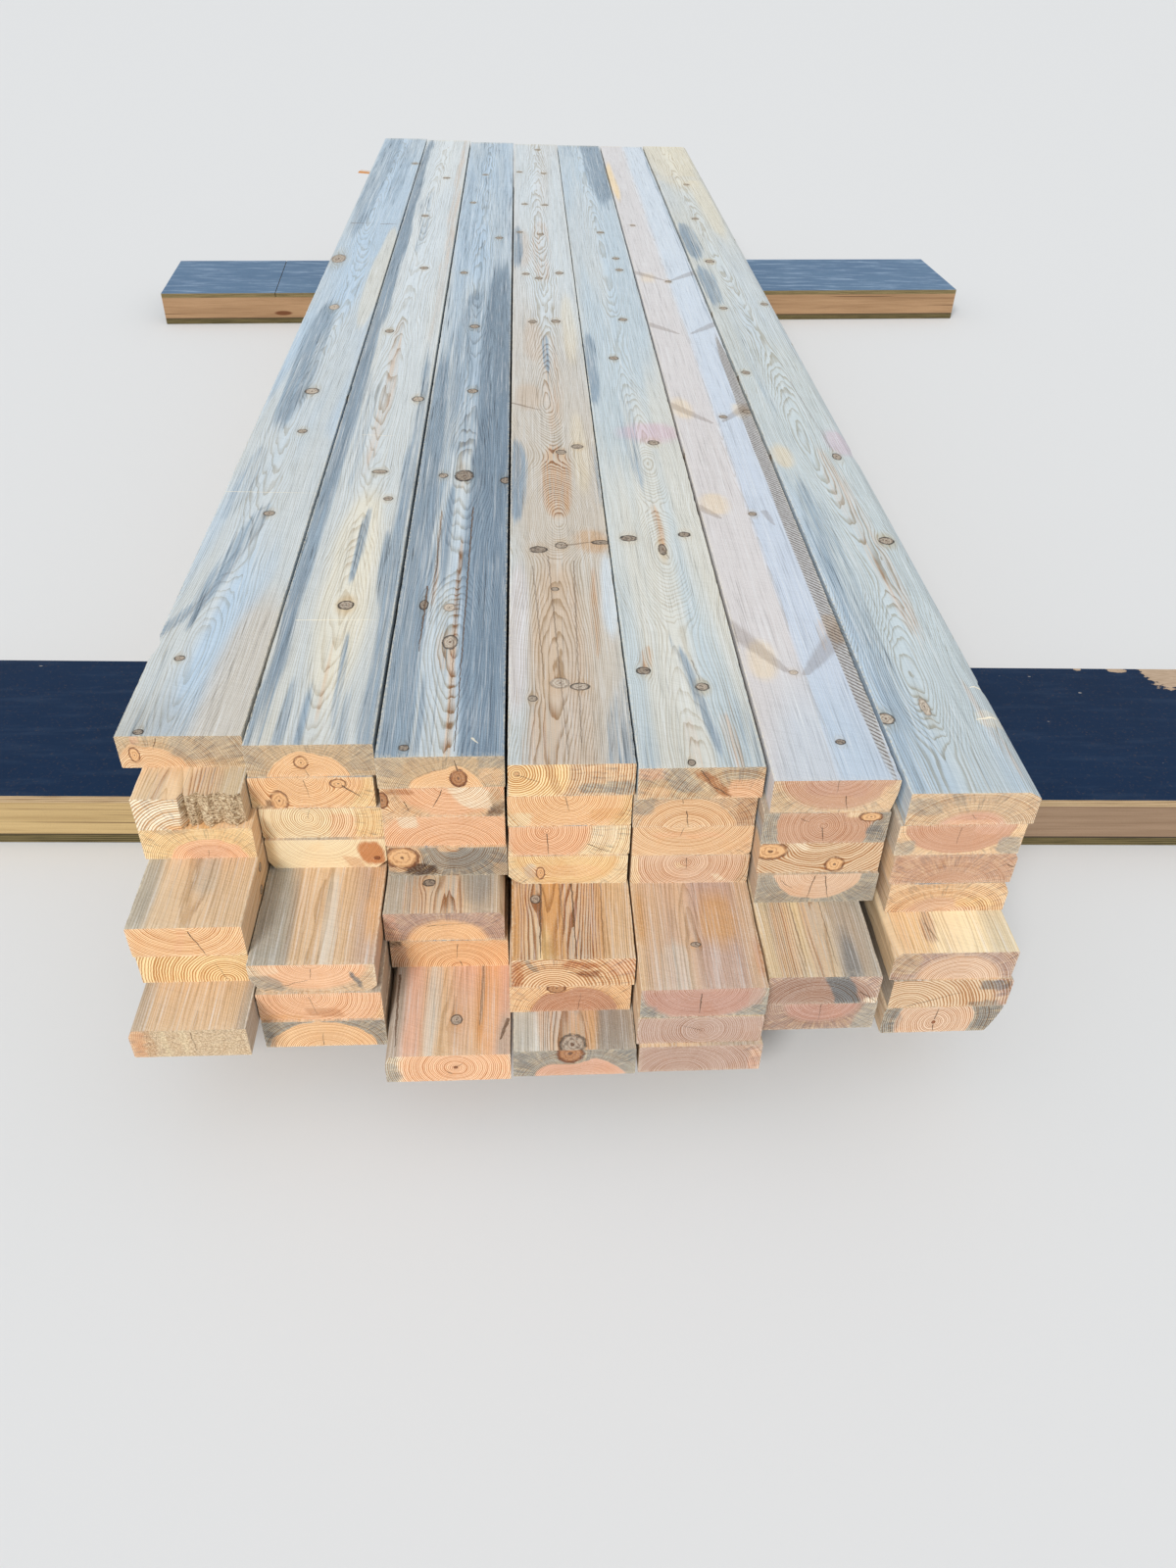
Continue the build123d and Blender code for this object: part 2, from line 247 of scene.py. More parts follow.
# The near end faces, as (pith across, pith down, heart radius, how much the heart and its
# rings are flattened, heart colour, sapwood colour, ring pitch, ring strength), then knots
# as (across, down, half width, half height, look), checks as (across, down, across, down,
# width) and patches as (across, down, half width, half height, colour, strength, and their
# lean where they have one)
ENDS = {
    (1, 1): (
        (45, 82, 66, 1.1, "tan", "grey", 3.2, 1.0),
        ((25, 37, 8, 14, "ring"),),
        ((64, 4, 57, 26, 1.2),),
        ((30, 6, 9, 12, "rose", 0.6), (140, 20, 60, 26, "ash", 0.45), (90, 60, 60, 8, "tan", 0.6)),
    ),
    (1, 2): (
        (75, 95, 40, 1.0, "cream", "white", 5.0, 1.5), (), (), ((120, 60, 80, 6, "amber", 0.8),),
    ),
    (1, 3): (
        (104, 74, 64, 1.2, "pink", "yellow", 3.0, 1.0), (), ((104, 46, 101, 61, 0.6),),
        ((50, 2, 30, 10, "grey", 0.6), (104, 50, 34, 16, "rose", 0.3)),
    ),
    (1, 4): (
        (84, -20, 120, 1.1, "orange", "yellow", 3.4, 1.1), (), ((95, 10, 115, 65, 1.5),),
        ((77, 30, 7, 28, "pink", 0.5, -0.3),),
    ),
    (1, 5): (
        (134, 59, 150, 1.0, "yellow", "amber", 4.4, 1.7), (), ((134, 59, 120, 20, 0.6),), (),
    ),
    (1, 6): (
        (100, 30, 20, 1.0, "fawn", "fawn", 3.0, 0.5), (), ((96, 5, 98, 58, 0.9),),
        ((14, 30, 22, 40, "rust", 0.55), (52, 30, 4, 36, "cream", 0.7), (84, 30, 5, 36, "cream", 0.6)),
    ),
    (1, 7): (
        (105, 75, 60, 1.1, "tan", "fawn", 3.0, 0.8),
        ((160, 38, 12, 8, "ring"),), (), ((30, 50, 40, 14, "grey", 0.6),),
    ),
    (2, 1): (
        (98, 74, 68, 1.22, "orange", "grey", 2.8, 1.0),
        ((88, 35, 11, 12, "ring"),),
        ((98, 63, 92, 48, 0.8),),
        ((8, 20, 22, 30, "ash", 0.4), (186, 20, 20, 34, "ash", 0.35)),
    ),
    (2, 2): (
        (88, -5, 96, 1.1, "orange", "yellow", 3.4, 1.1),
        ((46, 48, 14, 20, "ring"), (145, 13, 13, 9, "ring")),
        ((90, 5, 96, 40, 0.7), (152, 18, 180, 42, 2.0)),
        ((30, 54, 6, 10, "bark", 0.6, -0.4),),
    ),
    (2, 3): (
        (78, 20, 80, 1.0, "cream", "yellow", 3.4, 1.1), (), ((78, 20, 84, 2, 0.6),),
        ((134, 40, 22, 30, "pink", 0.6),),
    ),
    (2, 4): (
        (95, -18, 160, 1.1, "cream", "yellow", 3.0, 0.6),
        ((184, 42, 5, 4, "hole"),), (),
        ((176, 30, 22, 26, "rust", 0.9, 0.1), (146, 52, 14, 14, "rust", 0.4, 0.8),
         (8, 30, 8, 30, "yellow", 0.6)),
    ),
    (2, 5): (
        (100, 0, 86, 1.5, "pink", "fawn", 3.0, 0.9), (), ((98, 10, 96, 34, 0.6), (20, 60, 90, 36, 0.8)),
        ((24, 42, 26, 16, "ash", 0.7, 0.6), (168, 37, 5, 17, "slate", 0.85, 0.5),
         (20, 14, 26, 10, "white", 0.4)),
    ),
    (2, 6): (
        (82, 6, 120, 1.15, "pink", "orange", 3.0, 1.2), (), ((84, 8, 92, 50, 0.6),),
        ((104, 46, 30, 12, "brown", 0.4, 0.6), (30, 56, 40, 6, "amber", 0.4)),
    ),
    (2, 7): (
        (95, 74, 90, 1.25, "orange", "ash", 3.2, 1.2), (), ((94, 60, 97, 30, 0.7),),
        ((8, 50, 10, 20, "slate", 0.4),),
    ),
    (3, 1): (
        (108, 74, 62, 1.35, "orange", "grey", 2.8, 0.9),
        ((129, 44, 13, 17, "branch"),),
        ((129, 28, 124, 8, 1.6),),
        ((20, 16, 26, 24, "ash", 0.35), (180, 40, 22, 15, "tan", 0.8), (182, 10, 24, 14, "ash", 0.6)),
    ),
    (3, 2): (
        (115, -14, 92, 1.2, "pink", "tan", 3.2, 1.2),
        ((3, 28, 9, 16, "branch"),),
        ((100, 8, 84, 44, 1.2), (38, 30, 44, 52, 1.0)),
        ((150, 22, 34, 26, "white", 0.85, 0.6), (30, 12, 26, 5, "brown", 0.6, -0.3),
         (188, 48, 14, 16, "bark", 0.75, -0.5), (187, 22, 12, 18, "grey", 0.7)),
    ),
    (3, 3): (
        (110, 82, 130, 1.2, "pink", "tan", 3.4, 1.1), (), (), ((40, 11, 15, 13, "white", 0.75),),
    ),
    (3, 4): (
        (110, -10, 60, 1.1, "ash", "ash", 3.6, 1.1),
        ((24, 22, 27, 23, "ring"),), (),
        ((24, 24, 33, 30, "tan", 0.9), (54, 50, 27, 12, "bark", 0.95, -0.3),
         (150, 30, 52, 30, "slate", 0.4), (103, 1, 18, 9, "tan", 0.8), (190, 50, 16, 14, "grey", 0.6)),
    ),
    (3, 5): (
        (104, 74, 70, 1.22, "orange", "dusk", 3.2, 0.9), (), ((70, 30, 160, 22, 0.7),),
        ((8, 34, 16, 40, "rose", 0.6),),
    ),
    (3, 6): (
        (117, 66, 110, 1.3, "orange", "tan", 3.6, 1.2), (),
        ((114, 8, 110, 44, 0.8), (117, 50, 118, 62, 1.2)),
        ((6, 6, 14, 9, "bark", 0.8), (14, 40, 14, 30, "dusk", 0.5)),
    ),
    (3, 7): (
        (112, 30, 92, 1.15, "pink", "white", 3.2, 1.2),
        ((112, 30, 3, 3, "hole"),),
        ((104, 44, 98, 40, 1.4), (112, 30, 124, 22, 0.8)),
        ((6, 34, 16, 40, "ash", 0.6), (6, 50, 10, 14, "slate", 0.4)),
    ),
    (4, 1): (
        (14, 18, 84, 1.0, "yellow", "fawn", 4.4, 1.9),
        ((14, 18, 4, 4, "ring"),),
        ((14, 20, 50, 34, 0.7),),
        ((70, 26, 9, 34, "brown", 0.35, 0.3), (160, 48, 46, 11, "ash", 0.9, 0.15),
         (160, 10, 40, 12, "tan", 0.6)),
    ),
    (4, 2): (
        (94, 0, 96, 1.1, "orange", "yellow", 3.2, 1.3), (), ((94, 4, 100, 34, 0.8),),
        ((18, 48, 22, 14, "cream", 0.8), (160, 40, 30, 12, "amber", 0.4)),
    ),
    (4, 3): (
        (62, 9, 74, 1.0, "pink", "cream", 3.2, 1.3), (),
        ((62, 16, 66, 60, 1.3), (130, 40, 170, 60, 1.2)),
        ((158, 22, 22, 22, "white", 0.5),),
    ),
    (4, 4): (
        (98, -5, 88, 1.2, "yellow", "cream", 3.2, 1.0),
        ((54, 38, 7, 13, "ring"),), (),
        ((38, 32, 12, 16, "straw", 0.6, 0.2), (16, 12, 18, 14, "yellow", 0.8),
         (98, 34, 60, 14, "orange", 0.5)),
    ),
    (4, 5): (
        (67, 72, 54, 1.1, "tan", "tan", 5.2, 2.2), (), ((90, 30, 150, 44, 0.8),),
        ((4, 34, 15, 30, "rust", 0.75), (112, 14, 30, 8, "rust", 0.75, 0.4),
         (122, 34, 20, 7, "brown", 0.8, -0.9), (30, 12, 5, 18, "slate", 0.6, 0.6),
         (178, 20, 24, 20, "rose", 0.5)),
    ),
    (4, 6): (
        (106, 78, 76, 1.05, "ruddy", "orange", 3.2, 1.1),
        ((76, 6, 15, 10, "dead"),),
        ((112, 60, 116, 20, 0.6),), (),
    ),
    (4, 7): (
        (108, 76, 76, 1.35, "rose", "ash", 3.0, 0.9),
        ((92, 8, 20, 22, "branch"),), (),
        ((10, 30, 26, 44, "slate", 0.35), (190, 14, 22, 20, "slate", 0.5)),
    ),
    (5, 1): (
        (160, 92, 50, 1.0, "tan", "grey", 3.4, 1.0), (),
        ((98, 6, 122, 40, 1.4), (122, 40, 152, 60, 1.6)),
        ((20, 8, 28, 14, "rose", 0.6), (70, 26, 24, 26, "ash", 0.7, 0.6),
         (122, 34, 13, 28, "brown", 0.85, 0.9), (178, 44, 34, 20, "pink", 0.8),
         (160, 12, 30, 12, "ash", 0.6), (20, 50, 30, 12, "tan", 0.7)),
    ),
    (5, 2): (
        (88, 72, 82, 1.2, "tan", "fawn", 3.6, 1.2), (), ((86, 30, 92, 62, 1.3), (78, 4, 80, 16, 0.8)),
        ((8, 14, 24, 22, "ash", 0.7), (186, 34, 18, 36, "brown", 0.35)),
    ),
    (5, 3): (
        (83, -20, 130, 1.3, "tan", "tan", 3.4, 1.0), (), ((82, 4, 78, 22, 0.6),),
        ((90, 20, 60, 6, "pink", 0.5),),
    ),
    (5, 4): (
        (92, 16, 100, 1.1, "pale_pink", "fawn", 3.4, 1.1), (), ((92, 6, 94, 30, 0.9),),
        ((4, 34, 9, 40, "cream", 0.7), (150, 50, 7, 7, "white", 0.8, 0.7),
         (84, 24, 6, 6, "cream", 0.5, 0.7)),
    ),
    (5, 5): (
        (95, -3, 96, 1.3, "mauve", "ash", 3.4, 0.7), (), ((94, 12, 95, 56, 1.3),),
        ((8, 50, 18, 14, "slate", 0.4), (190, 52, 16, 13, "slate", 0.4),
         (182, 20, 14, 20, "dusk", 0.7)),
    ),
    (5, 6): (
        (103, 32, 120, 1.1, "dusk", "dusk", 3.4, 0.8), (), ((103, 32, 70, 20, 0.6),), (),
    ),
    (5, 7): (
        (70, 68, 120, 1.2, "dusk", "dusk", 3.2, 0.9), (), (), ((190, 40, 12, 30, "rose", 0.6),),
    ),
    (6, 1): (
        (103, -8, 90, 1.35, "clay", "fawn", 3.2, 0.8), (),
        ((118, 32, 122, 58, 1.2), (102, 0, 101, 24, 0.6)),
        ((103, 12, 52, 20, "mauve", 0.4), (12, 40, 16, 22, "grey", 0.7, 0.4),
         (184, 36, 14, 24, "tan", 0.6)),
    ),
    (6, 2): (
        (98, 26, 76, 0.95, "clay", "ash", 3.2, 0.9),
        ((172, 9, 18, 9, "ring"),),
        ((96, 30, 102, 58, 1.3), (60, 10, 74, 18, 0.7)),
        ((185, 44, 16, 16, "slate", 0.6, 0.4), (150, 4, 16, 8, "cream", 0.6)),
    ),
    (6, 3): (
        (100, -30, 150, 1.2, "fawn", "fawn", 5.4, 1.6),
        ((18, 16, 27, 17, "ring"), (127, 46, 15, 15, "ring")), (), ((60, 6, 20, 10, "white", 0.6),),
    ),
    (6, 4): (
        (101, -2, 74, 1.3, "pale_pink", "ash", 3.2, 0.7), (),
        ((96, 4, 88, 56, 1.3), (112, 4, 124, 54, 1.3), (40, 14, 60, 30, 0.7)),
        ((178, 44, 26, 16, "slate", 0.2),),
    ),
    (6, 5): (
        (80, 74, 100, 1.2, "umber", "dusk", 3.8, 1.0), (), ((150, 36, 180, 60, 1.4),),
        ((122, 30, 21, 40, "slate", 0.95, 0.42), (172, 54, 14, 6, "white", 0.7, -0.4)),
    ),
    (6, 6): (
        (92, -3, 62, 1.3, "mauve", "umber", 3.4, 0.8), (), ((92, 2, 92, 44, 0.6),),
        ((176, 30, 22, 40, "ash", 0.85, -0.3),),
    ),
    (6, 7): (
        (100, 75, 90, 1.1, "dusk", "fawn", 3.4, 0.9), (), (), (),
    ),
    (7, 1): (
        (110, 76, 58, 1.5, "rose", "fawn", 3.2, 1.0), (), ((104, 44, 112, 52, 0.6),),
        ((24, 26, 30, 16, "ash", 0.55, 0.4), (76, 12, 10, 14, "ash", 0.5, 0.4),
         (110, 62, 40, 10, "pink", 0.5)),
    ),
    (7, 2): (
        (98, 0, 90, 1.5, "ruddy", "tan", 3.2, 0.7), (), ((100, 6, 98, 40, 0.6),),
        ((12, 48, 20, 16, "ash", 0.7), (184, 44, 20, 18, "ash", 0.8), (150, 8, 30, 12, "rose", 0.5)),
    ),
    (7, 3): (
        (101, 70, 46, 1.45, "clay", "clay", 3.2, 0.8), (), ((190, 24, 202, 30, 1.6),),
        ((80, 20, 6, 10, "brown", 0.35),),
    ),
    (7, 4): (
        (90, 74, 60, 1.4, "pale_pink", "tan", 4.2, 1.1), (), (),
        ((150, 44, 34, 10, "yellow", 0.6, 0.3), (20, 20, 20, 30, "tan", 0.5)),
    ),
    (7, 5): (
        (114, 70, 74, 1.15, "pale_pink", "dusk", 3.6, 1.0), (), (), ((18, 24, 26, 26, "grey", 0.6),),
    ),
    (7, 6): (
        (33, 68, 150, 1.1, "fawn", "dusk", 5.2, 1.7), (), ((33, 60, 120, 30, 0.9),),
        ((172, 14, 26, 12, "slate", 0.7), (164, 58, 26, 7, "slate", 0.55, 0.2)),
    ),
    (7, 7): (
        (89, 38, 68, 0.95, "pale_pink", "ash", 3.4, 1.3),
        ((89, 38, 3, 4, "hole"),),
        ((89, 30, 91, 2, 1.3), (90, 46, 92, 60, 1.3)),
        ((10, 40, 20, 40, "slate", 0.35), (182, 30, 22, 40, "slate", 0.45)),
    ),
}

# The top faces of the top layer, and of the planks below where they stand out. Each has
# its two colours, the pith line under the face as (distance, across, down), knots as
# (across, distance, half width, half length, look), streaks as (kind, across, distance,
# across, distance, width, strength) and lines as (across, distance, across, distance,
# width, tone).
TOPS = {
    (1, 1): (
        ("pale_blue", "dry_cream"),
        ((0, 65, 64), (350, 80, 50), (700, 95, 69), (1400, 70, 50), (2300, 110, 70), (3300, 80, 50),
         (4900, 100, 70)),
        ((53, 312, 9, 8, "brown"), (36, 98, 8, 7, "dead"), (107, 1572, 17, 20, "ring"),
         (120, 1310, 11, 12, "brown"), (114, 870, 12, 11, "brown"), (182, 4325, 14, 14, "brown"),
         (28, 2800, 24, 50, "olive"), (78, 2270, 15, 26, "pale")),
        (("ash", 50, 320, 50, -700, 150, 0.45), ("blue", 112, 1000, 30, 380, 46, 0.75),
         ("blue", 88, 800, 30, 330, 18, 0.95), ("blue", 70, 560, -20, 350, 34, 0.8),
         ("blue", 24, 440, 30, -200, 50, 0.42), ("blue", 100, 330, 96, -200, 40, 0.4),
         ("blue", 60, 1150, 62, 2500, 84, 0.85), ("blue", 36, 2700, 60, 5600, 90, 0.75),
         ("blue", 130, 3200, 150, 5600, 70, 0.6), ("blue", 20, 760, 50, 1300, 44, 0.6),
         ("dry_tan", 168, 640, 160, -400, 110, 0.7), ("dry_cream", 178, 1400, 176, 560, 60, 0.8),
         ("pale", 176, 1900, 180, 3400, 56, 0.9)),
        ((0, 975, 200, 968, 1.8, "pale"), (20, 3275, 75, 3275, 9, "brown"),
         (130, 3268, 185, 3275, 9, "brown"), (112, 820, 52, 470, 4, "grey"),
         (84, 640, 8, 378, 4, "grey"), (60, 520, 0, 372, 3, "grey")),
    ),
    (2, 1): (
        ("dry_cream", "straw"),
        ((0, 98, 68), (490, 110, 48), (900, 105, 69), (1500, 95, 50), (2600, 100, 69), (3600, 90, 52),
         (4900, 100, 69)),
        ((114, 490, 14, 15, "halo"), (179, 1522, 15, 16, "ring"), (122, 1080, 17, 9, "brown"),
         (153, 942, 10, 10, "brown"), (60, 2050, 12, 14, "brown"), (120, 2700, 14, 15, "brown"),
         (80, 3400, 13, 14, "brown"), (130, 4050, 14, 15, "brown")),
        (("cream", 110, 1100, 112, 60, 96, 0.38), ("blue", 16, -900, 18, 5900, 52, 1.0),
         ("blue", 118, 960, 116, 515, 19, 0.95), ("blue", 56, 380, 54, -500, 24, 0.8),
         ("blue", 88, 330, 84, -500, 22, 0.9), ("blue", 126, 450, 142, 40, 15, 0.75),
         ("blue", 193, -900, 190, 2300, 34, 0.85), ("blue", 164, 860, 184, 400, 22, 0.8),
         ("blue", 152, 300, 166, -300, 20, 0.7), ("blue", 62, 860, 60, 1800, 34, 0.6),
         ("brown", 95, 2400, 95, 900, 36, 0.6), ("brown", 190, 1300, 185, 5600, 40, 0.5),
         ("blue", 80, 2700, 75, 4000, 50, 0.6), ("brown", 104, 420, 112, 60, 12, 0.6),
         ("brown", 96, 900, 102, 560, 12, 0.5)),
        ((30, 437, 175, 437, 2.2, "pale"), (60, 1290, 140, 1284, 1.6, "pale")),
    ),
    (3, 1): (
        ("dry_cream", "pale_blue"),
        ((0, 108, 66), (360, 100, 44), (640, 96, 69), (1060, 100, 50), (1600, 110, 70), (2700, 90, 50),
         (4900, 100, 70)),
        ((48, 490, 8, 17, "dead"), (96, 481, 11, 14, "pale"), (103, 360, 13, 22, "ring"),
         (44, 50, 8, 8, "dead"), (106, 1580, 13, 15, "brown"), (103, 1060, 20, 28, "dead"),
         (56, 1060, 10, 12, "brown"), (198, 1035, 13, 16, "dead"), (44, 2650, 12, 14, "brown"),
         (156, 3095, 13, 14, "brown"), (96, 2100, 14, 16, "brown"), (83, 4125, 12, 12, "brown"),
         (46, 3620, 12, 12, "brown")),
        (("blue", 166, -900, 166, 3300, 104, 1.35), ("blue", 22, -900, 20, 2300, 76, 1.0),
         ("blue", 78, 1100, 80, 460, 20, 1.0), ("blue", 46, 640, 52, 320, 16, 1.0),
         ("blue", 64, 360, 54, -300, 16, 0.9), ("brown", 62, 960, 64, 400, 10, 0.9),
         ("brown", 108, 960, 112, -400, 12, 1.0), ("brown", 92, 430, 98, 240, 34, 0.6),
         ("blue", 100, -500, 100, 5900, 230, 0.5), ("blue", 90, 900, 90, 2700, 120, 0.8),
         ("brown", 96, 1500, 100, 900, 30, 0.5), ("blue", 150, 2300, 150, 3800, 80, 0.5)),
        ((151, 73, 160, 60, 3.5, "pale"), (62, 880, 63, 420, 2.2, "brown"),
         (108, 700, 112, 40, 2.6, "brown"), (128, 900, 124, 40, 2.4, "dark"),
         (51, 560, 49, 330, 3.0, "dark")),
    ),
    (4, 1): (
        ("dry_tan", "dry_cream"),
        ((-100, 60, 61), (300, 88, 56), (640, 90, 70), (840, 104, 25), (1170, 102, 90), (1500, 90, 48),
         (2200, 100, 74), (3200, 95, 50), (4900, 100, 74)),
        ((58, 708, 17, 13, "dead"), (105, 726, 12, 13, "rosy"), (187, 739, 18, 9, "dead"),
         (88, 548, 7, 7, "brown"), (88, 228, 16, 15, "pale"), (122, 217, 16, 10, "ring"),
         (41, 183, 8, 8, "brown"), (158, 1225, 13, 12, "brown"), (118, 1192, 12, 12, "brown"),
         (23, 3180, 11, 12, "brown"), (100, 3152, 12, 13, "brown"), (43, 2645, 12, 12, "brown"),
         (155, 2660, 13, 14, "brown"), (85, 2598, 12, 13, "brown"), (60, 2150, 12, 13, "brown"),
         (130, 2155, 13, 14, "brown"), (108, 4670, 12, 12, "brown"), (23, 4190, 12, 12, "brown"),
         (128, 4170, 12, 13, "brown"), (43, 3610, 12, 12, "brown"), (123, 3600, 12, 12, "brown")),
        (("ochre", 84, 820, 92, -500, 110, 0.34), ("brown", 92, 800, 96, -500, 108, 0.38),
         ("brown", 86, 700, 92, 260, 54, 0.35), ("brown", 164, 700, 150, 240, 22, 0.8),
         ("brown", 100, 1300, 100, 780, 70, 1.0), ("brown", 105, 2200, 105, 1150, 60, 0.5),
         ("dry_pink", 14, 720, 8, 60, 42, 0.9), ("far_white", 190, 730, 184, 330, 34, 0.9),
         ("blue", 204, 330, 168, -230, 60, 0.7), ("blue", 12, 760, 12, 1340, 44, 0.85),
         ("blue", 15, 2620, 15, 3380, 44, 0.85), ("blue", 96, 1680, 96, 2080, 24, 0.8),
         ("brown", 100, 2400, 100, 3500, 80, 0.5), ("brown", 60, 240, 56, -200, 70, 0.6),
         ("ochre", 160, 810, 168, 680, 66, 0.5), ("ochre", 40, 1660, 44, 1430, 70, 0.22),
         ("cream", 156, 1500, 160, 900, 36, 0.26), ("ochre", 60, 2200, 64, 1760, 56, 0.2),
         ("cream", 168, 2500, 168, 1700, 40, 0.28), ("ochre", 40, 3260, 46, 2660, 40, 0.22),
         ("blue", 190, 840, 190, 1300, 30, 0.4)),
        ((0, 1500, 75, 1452, 8, "brown"), (112, 726, 170, 742, 5, "brown"),
         (77, 680, 96, 30, 2.4, "brown"), (128, 660, 118, 60, 2.2, "brown"),
         (46, 640, 62, 240, 2.0, "brown")),
    ),
    (5, 1): (
        ("dry_green", "straw"),
        ((0, 100, 56), (380, 104, 72), (700, 107, 25), (900, 110, 60), (1130, 112, 28),
         (1250, 115, 45), (1850, 90, 73), (2900, 110, 56), (4900, 95, 73)),
        ((41, 757, 17, 12, "dead"), (107, 708, 8, 22, "resin"), (159, 774, 12, 11, "dead"),
         (30, 264, 12, 11, "dead"), (127, 214, 11, 11, "halo"), (80, 1838, 13, 14, "brown"),
         (138, 1250, 13, 13, "brown"), (118, 3190, 13, 13, "brown"), (153, 2845, 12, 12, "brown"),
         (156, 2705, 12, 12, "brown"), (130, 2178, 13, 14, "brown"), (84, 5, 6, 8, "dead")),
        (("blue", 96, 400, 132, -40, 20, 0.95), ("blue", 84, 430, 118, 60, 12, 0.7),
         ("blue", 14, 1400, 14, 2150, 40, 0.9), ("blue", 160, 3300, 150, 5700, 110, 0.9),
         ("blue", 176, 260, 190, -200, 30, 0.6), ("brown", 46, 360, 28, 240, 26, 0.7),
         ("brown", 107, 960, 107, 650, 18, 0.9), ("brown", 90, 170, 82, -100, 26, 0.6),
         ("brown", 146, 170, 156, -60, 26, 0.6), ("blue", 90, 870, 85, 1750, 36, 0.5),
         ("spray", 140, 1240, 140, 1380, 150, 0.5), ("blue", 20, 160, 10, -200, 40, 0.5),
         ("brown", 150, 420, 170, 0, 12, 0.4), ("blue", 100, 4300, 100, 5600, 230, 0.5)),
        ((108, 715, 118, 668, 3, "brown"), (118, 296, 126, 232, 2, "brown")),
    ),
    (6, 1): (
        ("dry_pink", "lavender"),
        ((0, 103, -10), (900, 103, -14), (1800, 104, -8), (2800, 102, -14), (4900, 104, -10)),
        ((86, 256, 8, 7, "pale"), (125, 55, 8, 7, "dead"), (124, 1415, 10, 10, "brown"),
         (191, 1450, 12, 12, "brown"), (112, 870, 9, 9, "brown"), (103, 2577, 11, 12, "brown"),
         (40, 3300, 10, 10, "brown")),
        (("dry_pink", 44, -2200, 44, 8400, 116, 0.75), ("pale_blue", 103, 420, 103, -1400, 230, 0.45),
         ("hatch", 188, -300, 188, 2300, 32, 1.5), ("yellow", 12, 3600, 12, 4500, 30, 0.7),
         ("yellow", 44, 380, 32, 215, 50, 0.38), ("yellow", 36, 985, 40, 850, 60, 0.38),
         ("yellow", 24, 1560, 34, 1380, 50, 0.38), ("yellow", 40, 2680, 34, 2540, 44, 0.3),
         ("yellow", 180, 1520, 176, 1400, 40, 0.4), ("brown", 188, 470, 188, 330, 40, 0.9),
         ("blue", 196, 1500, 196, 5600, 24, 0.6), ("brown", 176, 460, 150, 300, 20, 0.4)),
        ((-12, 420, 74, 262, 34, "soft"), (216, 414, 106, 250, 38, "soft"),
         (106, 420, 106, 1400, 1.8, "grey"), (106, 240, 107, -40, 1.8, "grey"),
         (-4, 1495, 90, 1375, 26, "soft"), (206, 1500, 120, 1385, 26, "soft"),
         (-4, 2680, 90, 2592, 28, "soft"), (206, 2690, 115, 2590, 28, "soft"),
         (-4, 2140, 80, 2052, 26, "soft"), (206, 2150, 120, 2055, 26, "soft"),
         (-4, 905, 40, 850, 20, "soft"), (140, 880, 150, 820, 14, "soft"),
         (104, 1500, 102, 2500, 1.6, "grey")),
    ),
    (7, 1): (
        ("dry_green", "pale_blue"),
        ((0, 78, 68), (240, 84, 45), (600, 120, 68), (1250, 95, 46), (2000, 120, 69), (3000, 100, 50),
         (4900, 90, 69)),
        ((168, 746, 15, 15, "halo"), (8, 117, 14, 15, "ring"), (83, 150, 8, 26, "pale"),
         (24, 1732, 12, 12, "brown"), (156, 1172, 10, 18, "brown"), (67, 2823, 15, 16, "halo"),
         (42, 2300, 12, 12, "brown"), (179, 2345, 12, 12, "brown"), (87, 3415, 13, 13, "brown"),
         (120, 4000, 12, 12, "brown")),
        (("blue", 40, 1250, 34, -120, 80, 0.62), ("blue", 28, 2760, 28, 3440, 66, 0.9),
         ("blue", 28, 2240, 28, 2840, 60, 0.8), ("blue", 14, 300, 10, -400, 26, 0.6),
         ("brown", 120, 1400, 136, 200, 60, 0.5), ("spray", 176, 1160, 176, 1350, 60, 0.4),
         ("yellow", 22, 1260, 22, 1090, 46, 0.4), ("pale", 182, 150, 182, 80, 50, 1.0),
         ("cream", 100, 3700, 100, 5900, 230, 0.38), ("cream", 160, 3000, 160, 4300, 70, 0.3),
         ("pale", 100, 4040, 100, 4170, 230, 0.9), ("brown", 160, 300, 190, -100, 20, 0.5),
         ("blue", 60, 1300, 50, 2200, 30, 0.5)),
        ((136, 1665, 154, 1200, 1.6, "brown"), (196, 122, 160, 112, 5, "white"),
         (200, 212, 178, 206, 4, "white")),
    ),
    (1, 2): (
        ("grey", "tan"),
        ((-100, 60, 70), (300, 60, 80)), (),
        (("brown", 110, 120, 110, -60, 60, 0.9), ("brown", 40, 120, 40, -60, 20, 0.7)), (),
    ),
    (1, 3): (
        ("amber", "tan"),
        ((0, 104, 60),), (), (), (),
    ),
    (1, 4): (
        ("sawn", "fawn"),
        ((0, 84, 60),), (),
        (("ash", 6, 200, 14, -260, 40, 0.8), ("brown", 90, 100, 100, -170, 30, 0.5),
         ("ash", 100, 40, 104, -100, 40, 0.5)), (),
    ),
    (1, 7): (
        ("sawn_grey", "sawn"),
        ((0, 105, 60),),
        ((120, -60, 14, 11, "brown"), (50, -30, 9, 8, "brown")),
        (("brown", 120, 100, 130, -200, 60, 0.9), ("ash", 20, 100, 20, -200, 60, 0.56),
         ("brown", 160, 100, 165, -140, 30, 1.0)),
        ((30, -20, 36, -85, 3, "dark"), (150, 0, 156, -80, 2.4, "dark")),
    ),
    (2, 5): (
        ("dusk", "sawn"),
        ((0, 100, 60),), (),
        (("ash", 12, 200, 24, -420, 66, 0.95), ("slate", 50, 200, 52, -420, 10, 0.35),
         ("pale", 110, 100, 112, -260, 30, 0.6), ("amber", 190, 100, 180, -160, 30, 0.6),
         ("brown", 186, 60, 176, -60, 40, 0.6)), (),
    ),
    (3, 5): (
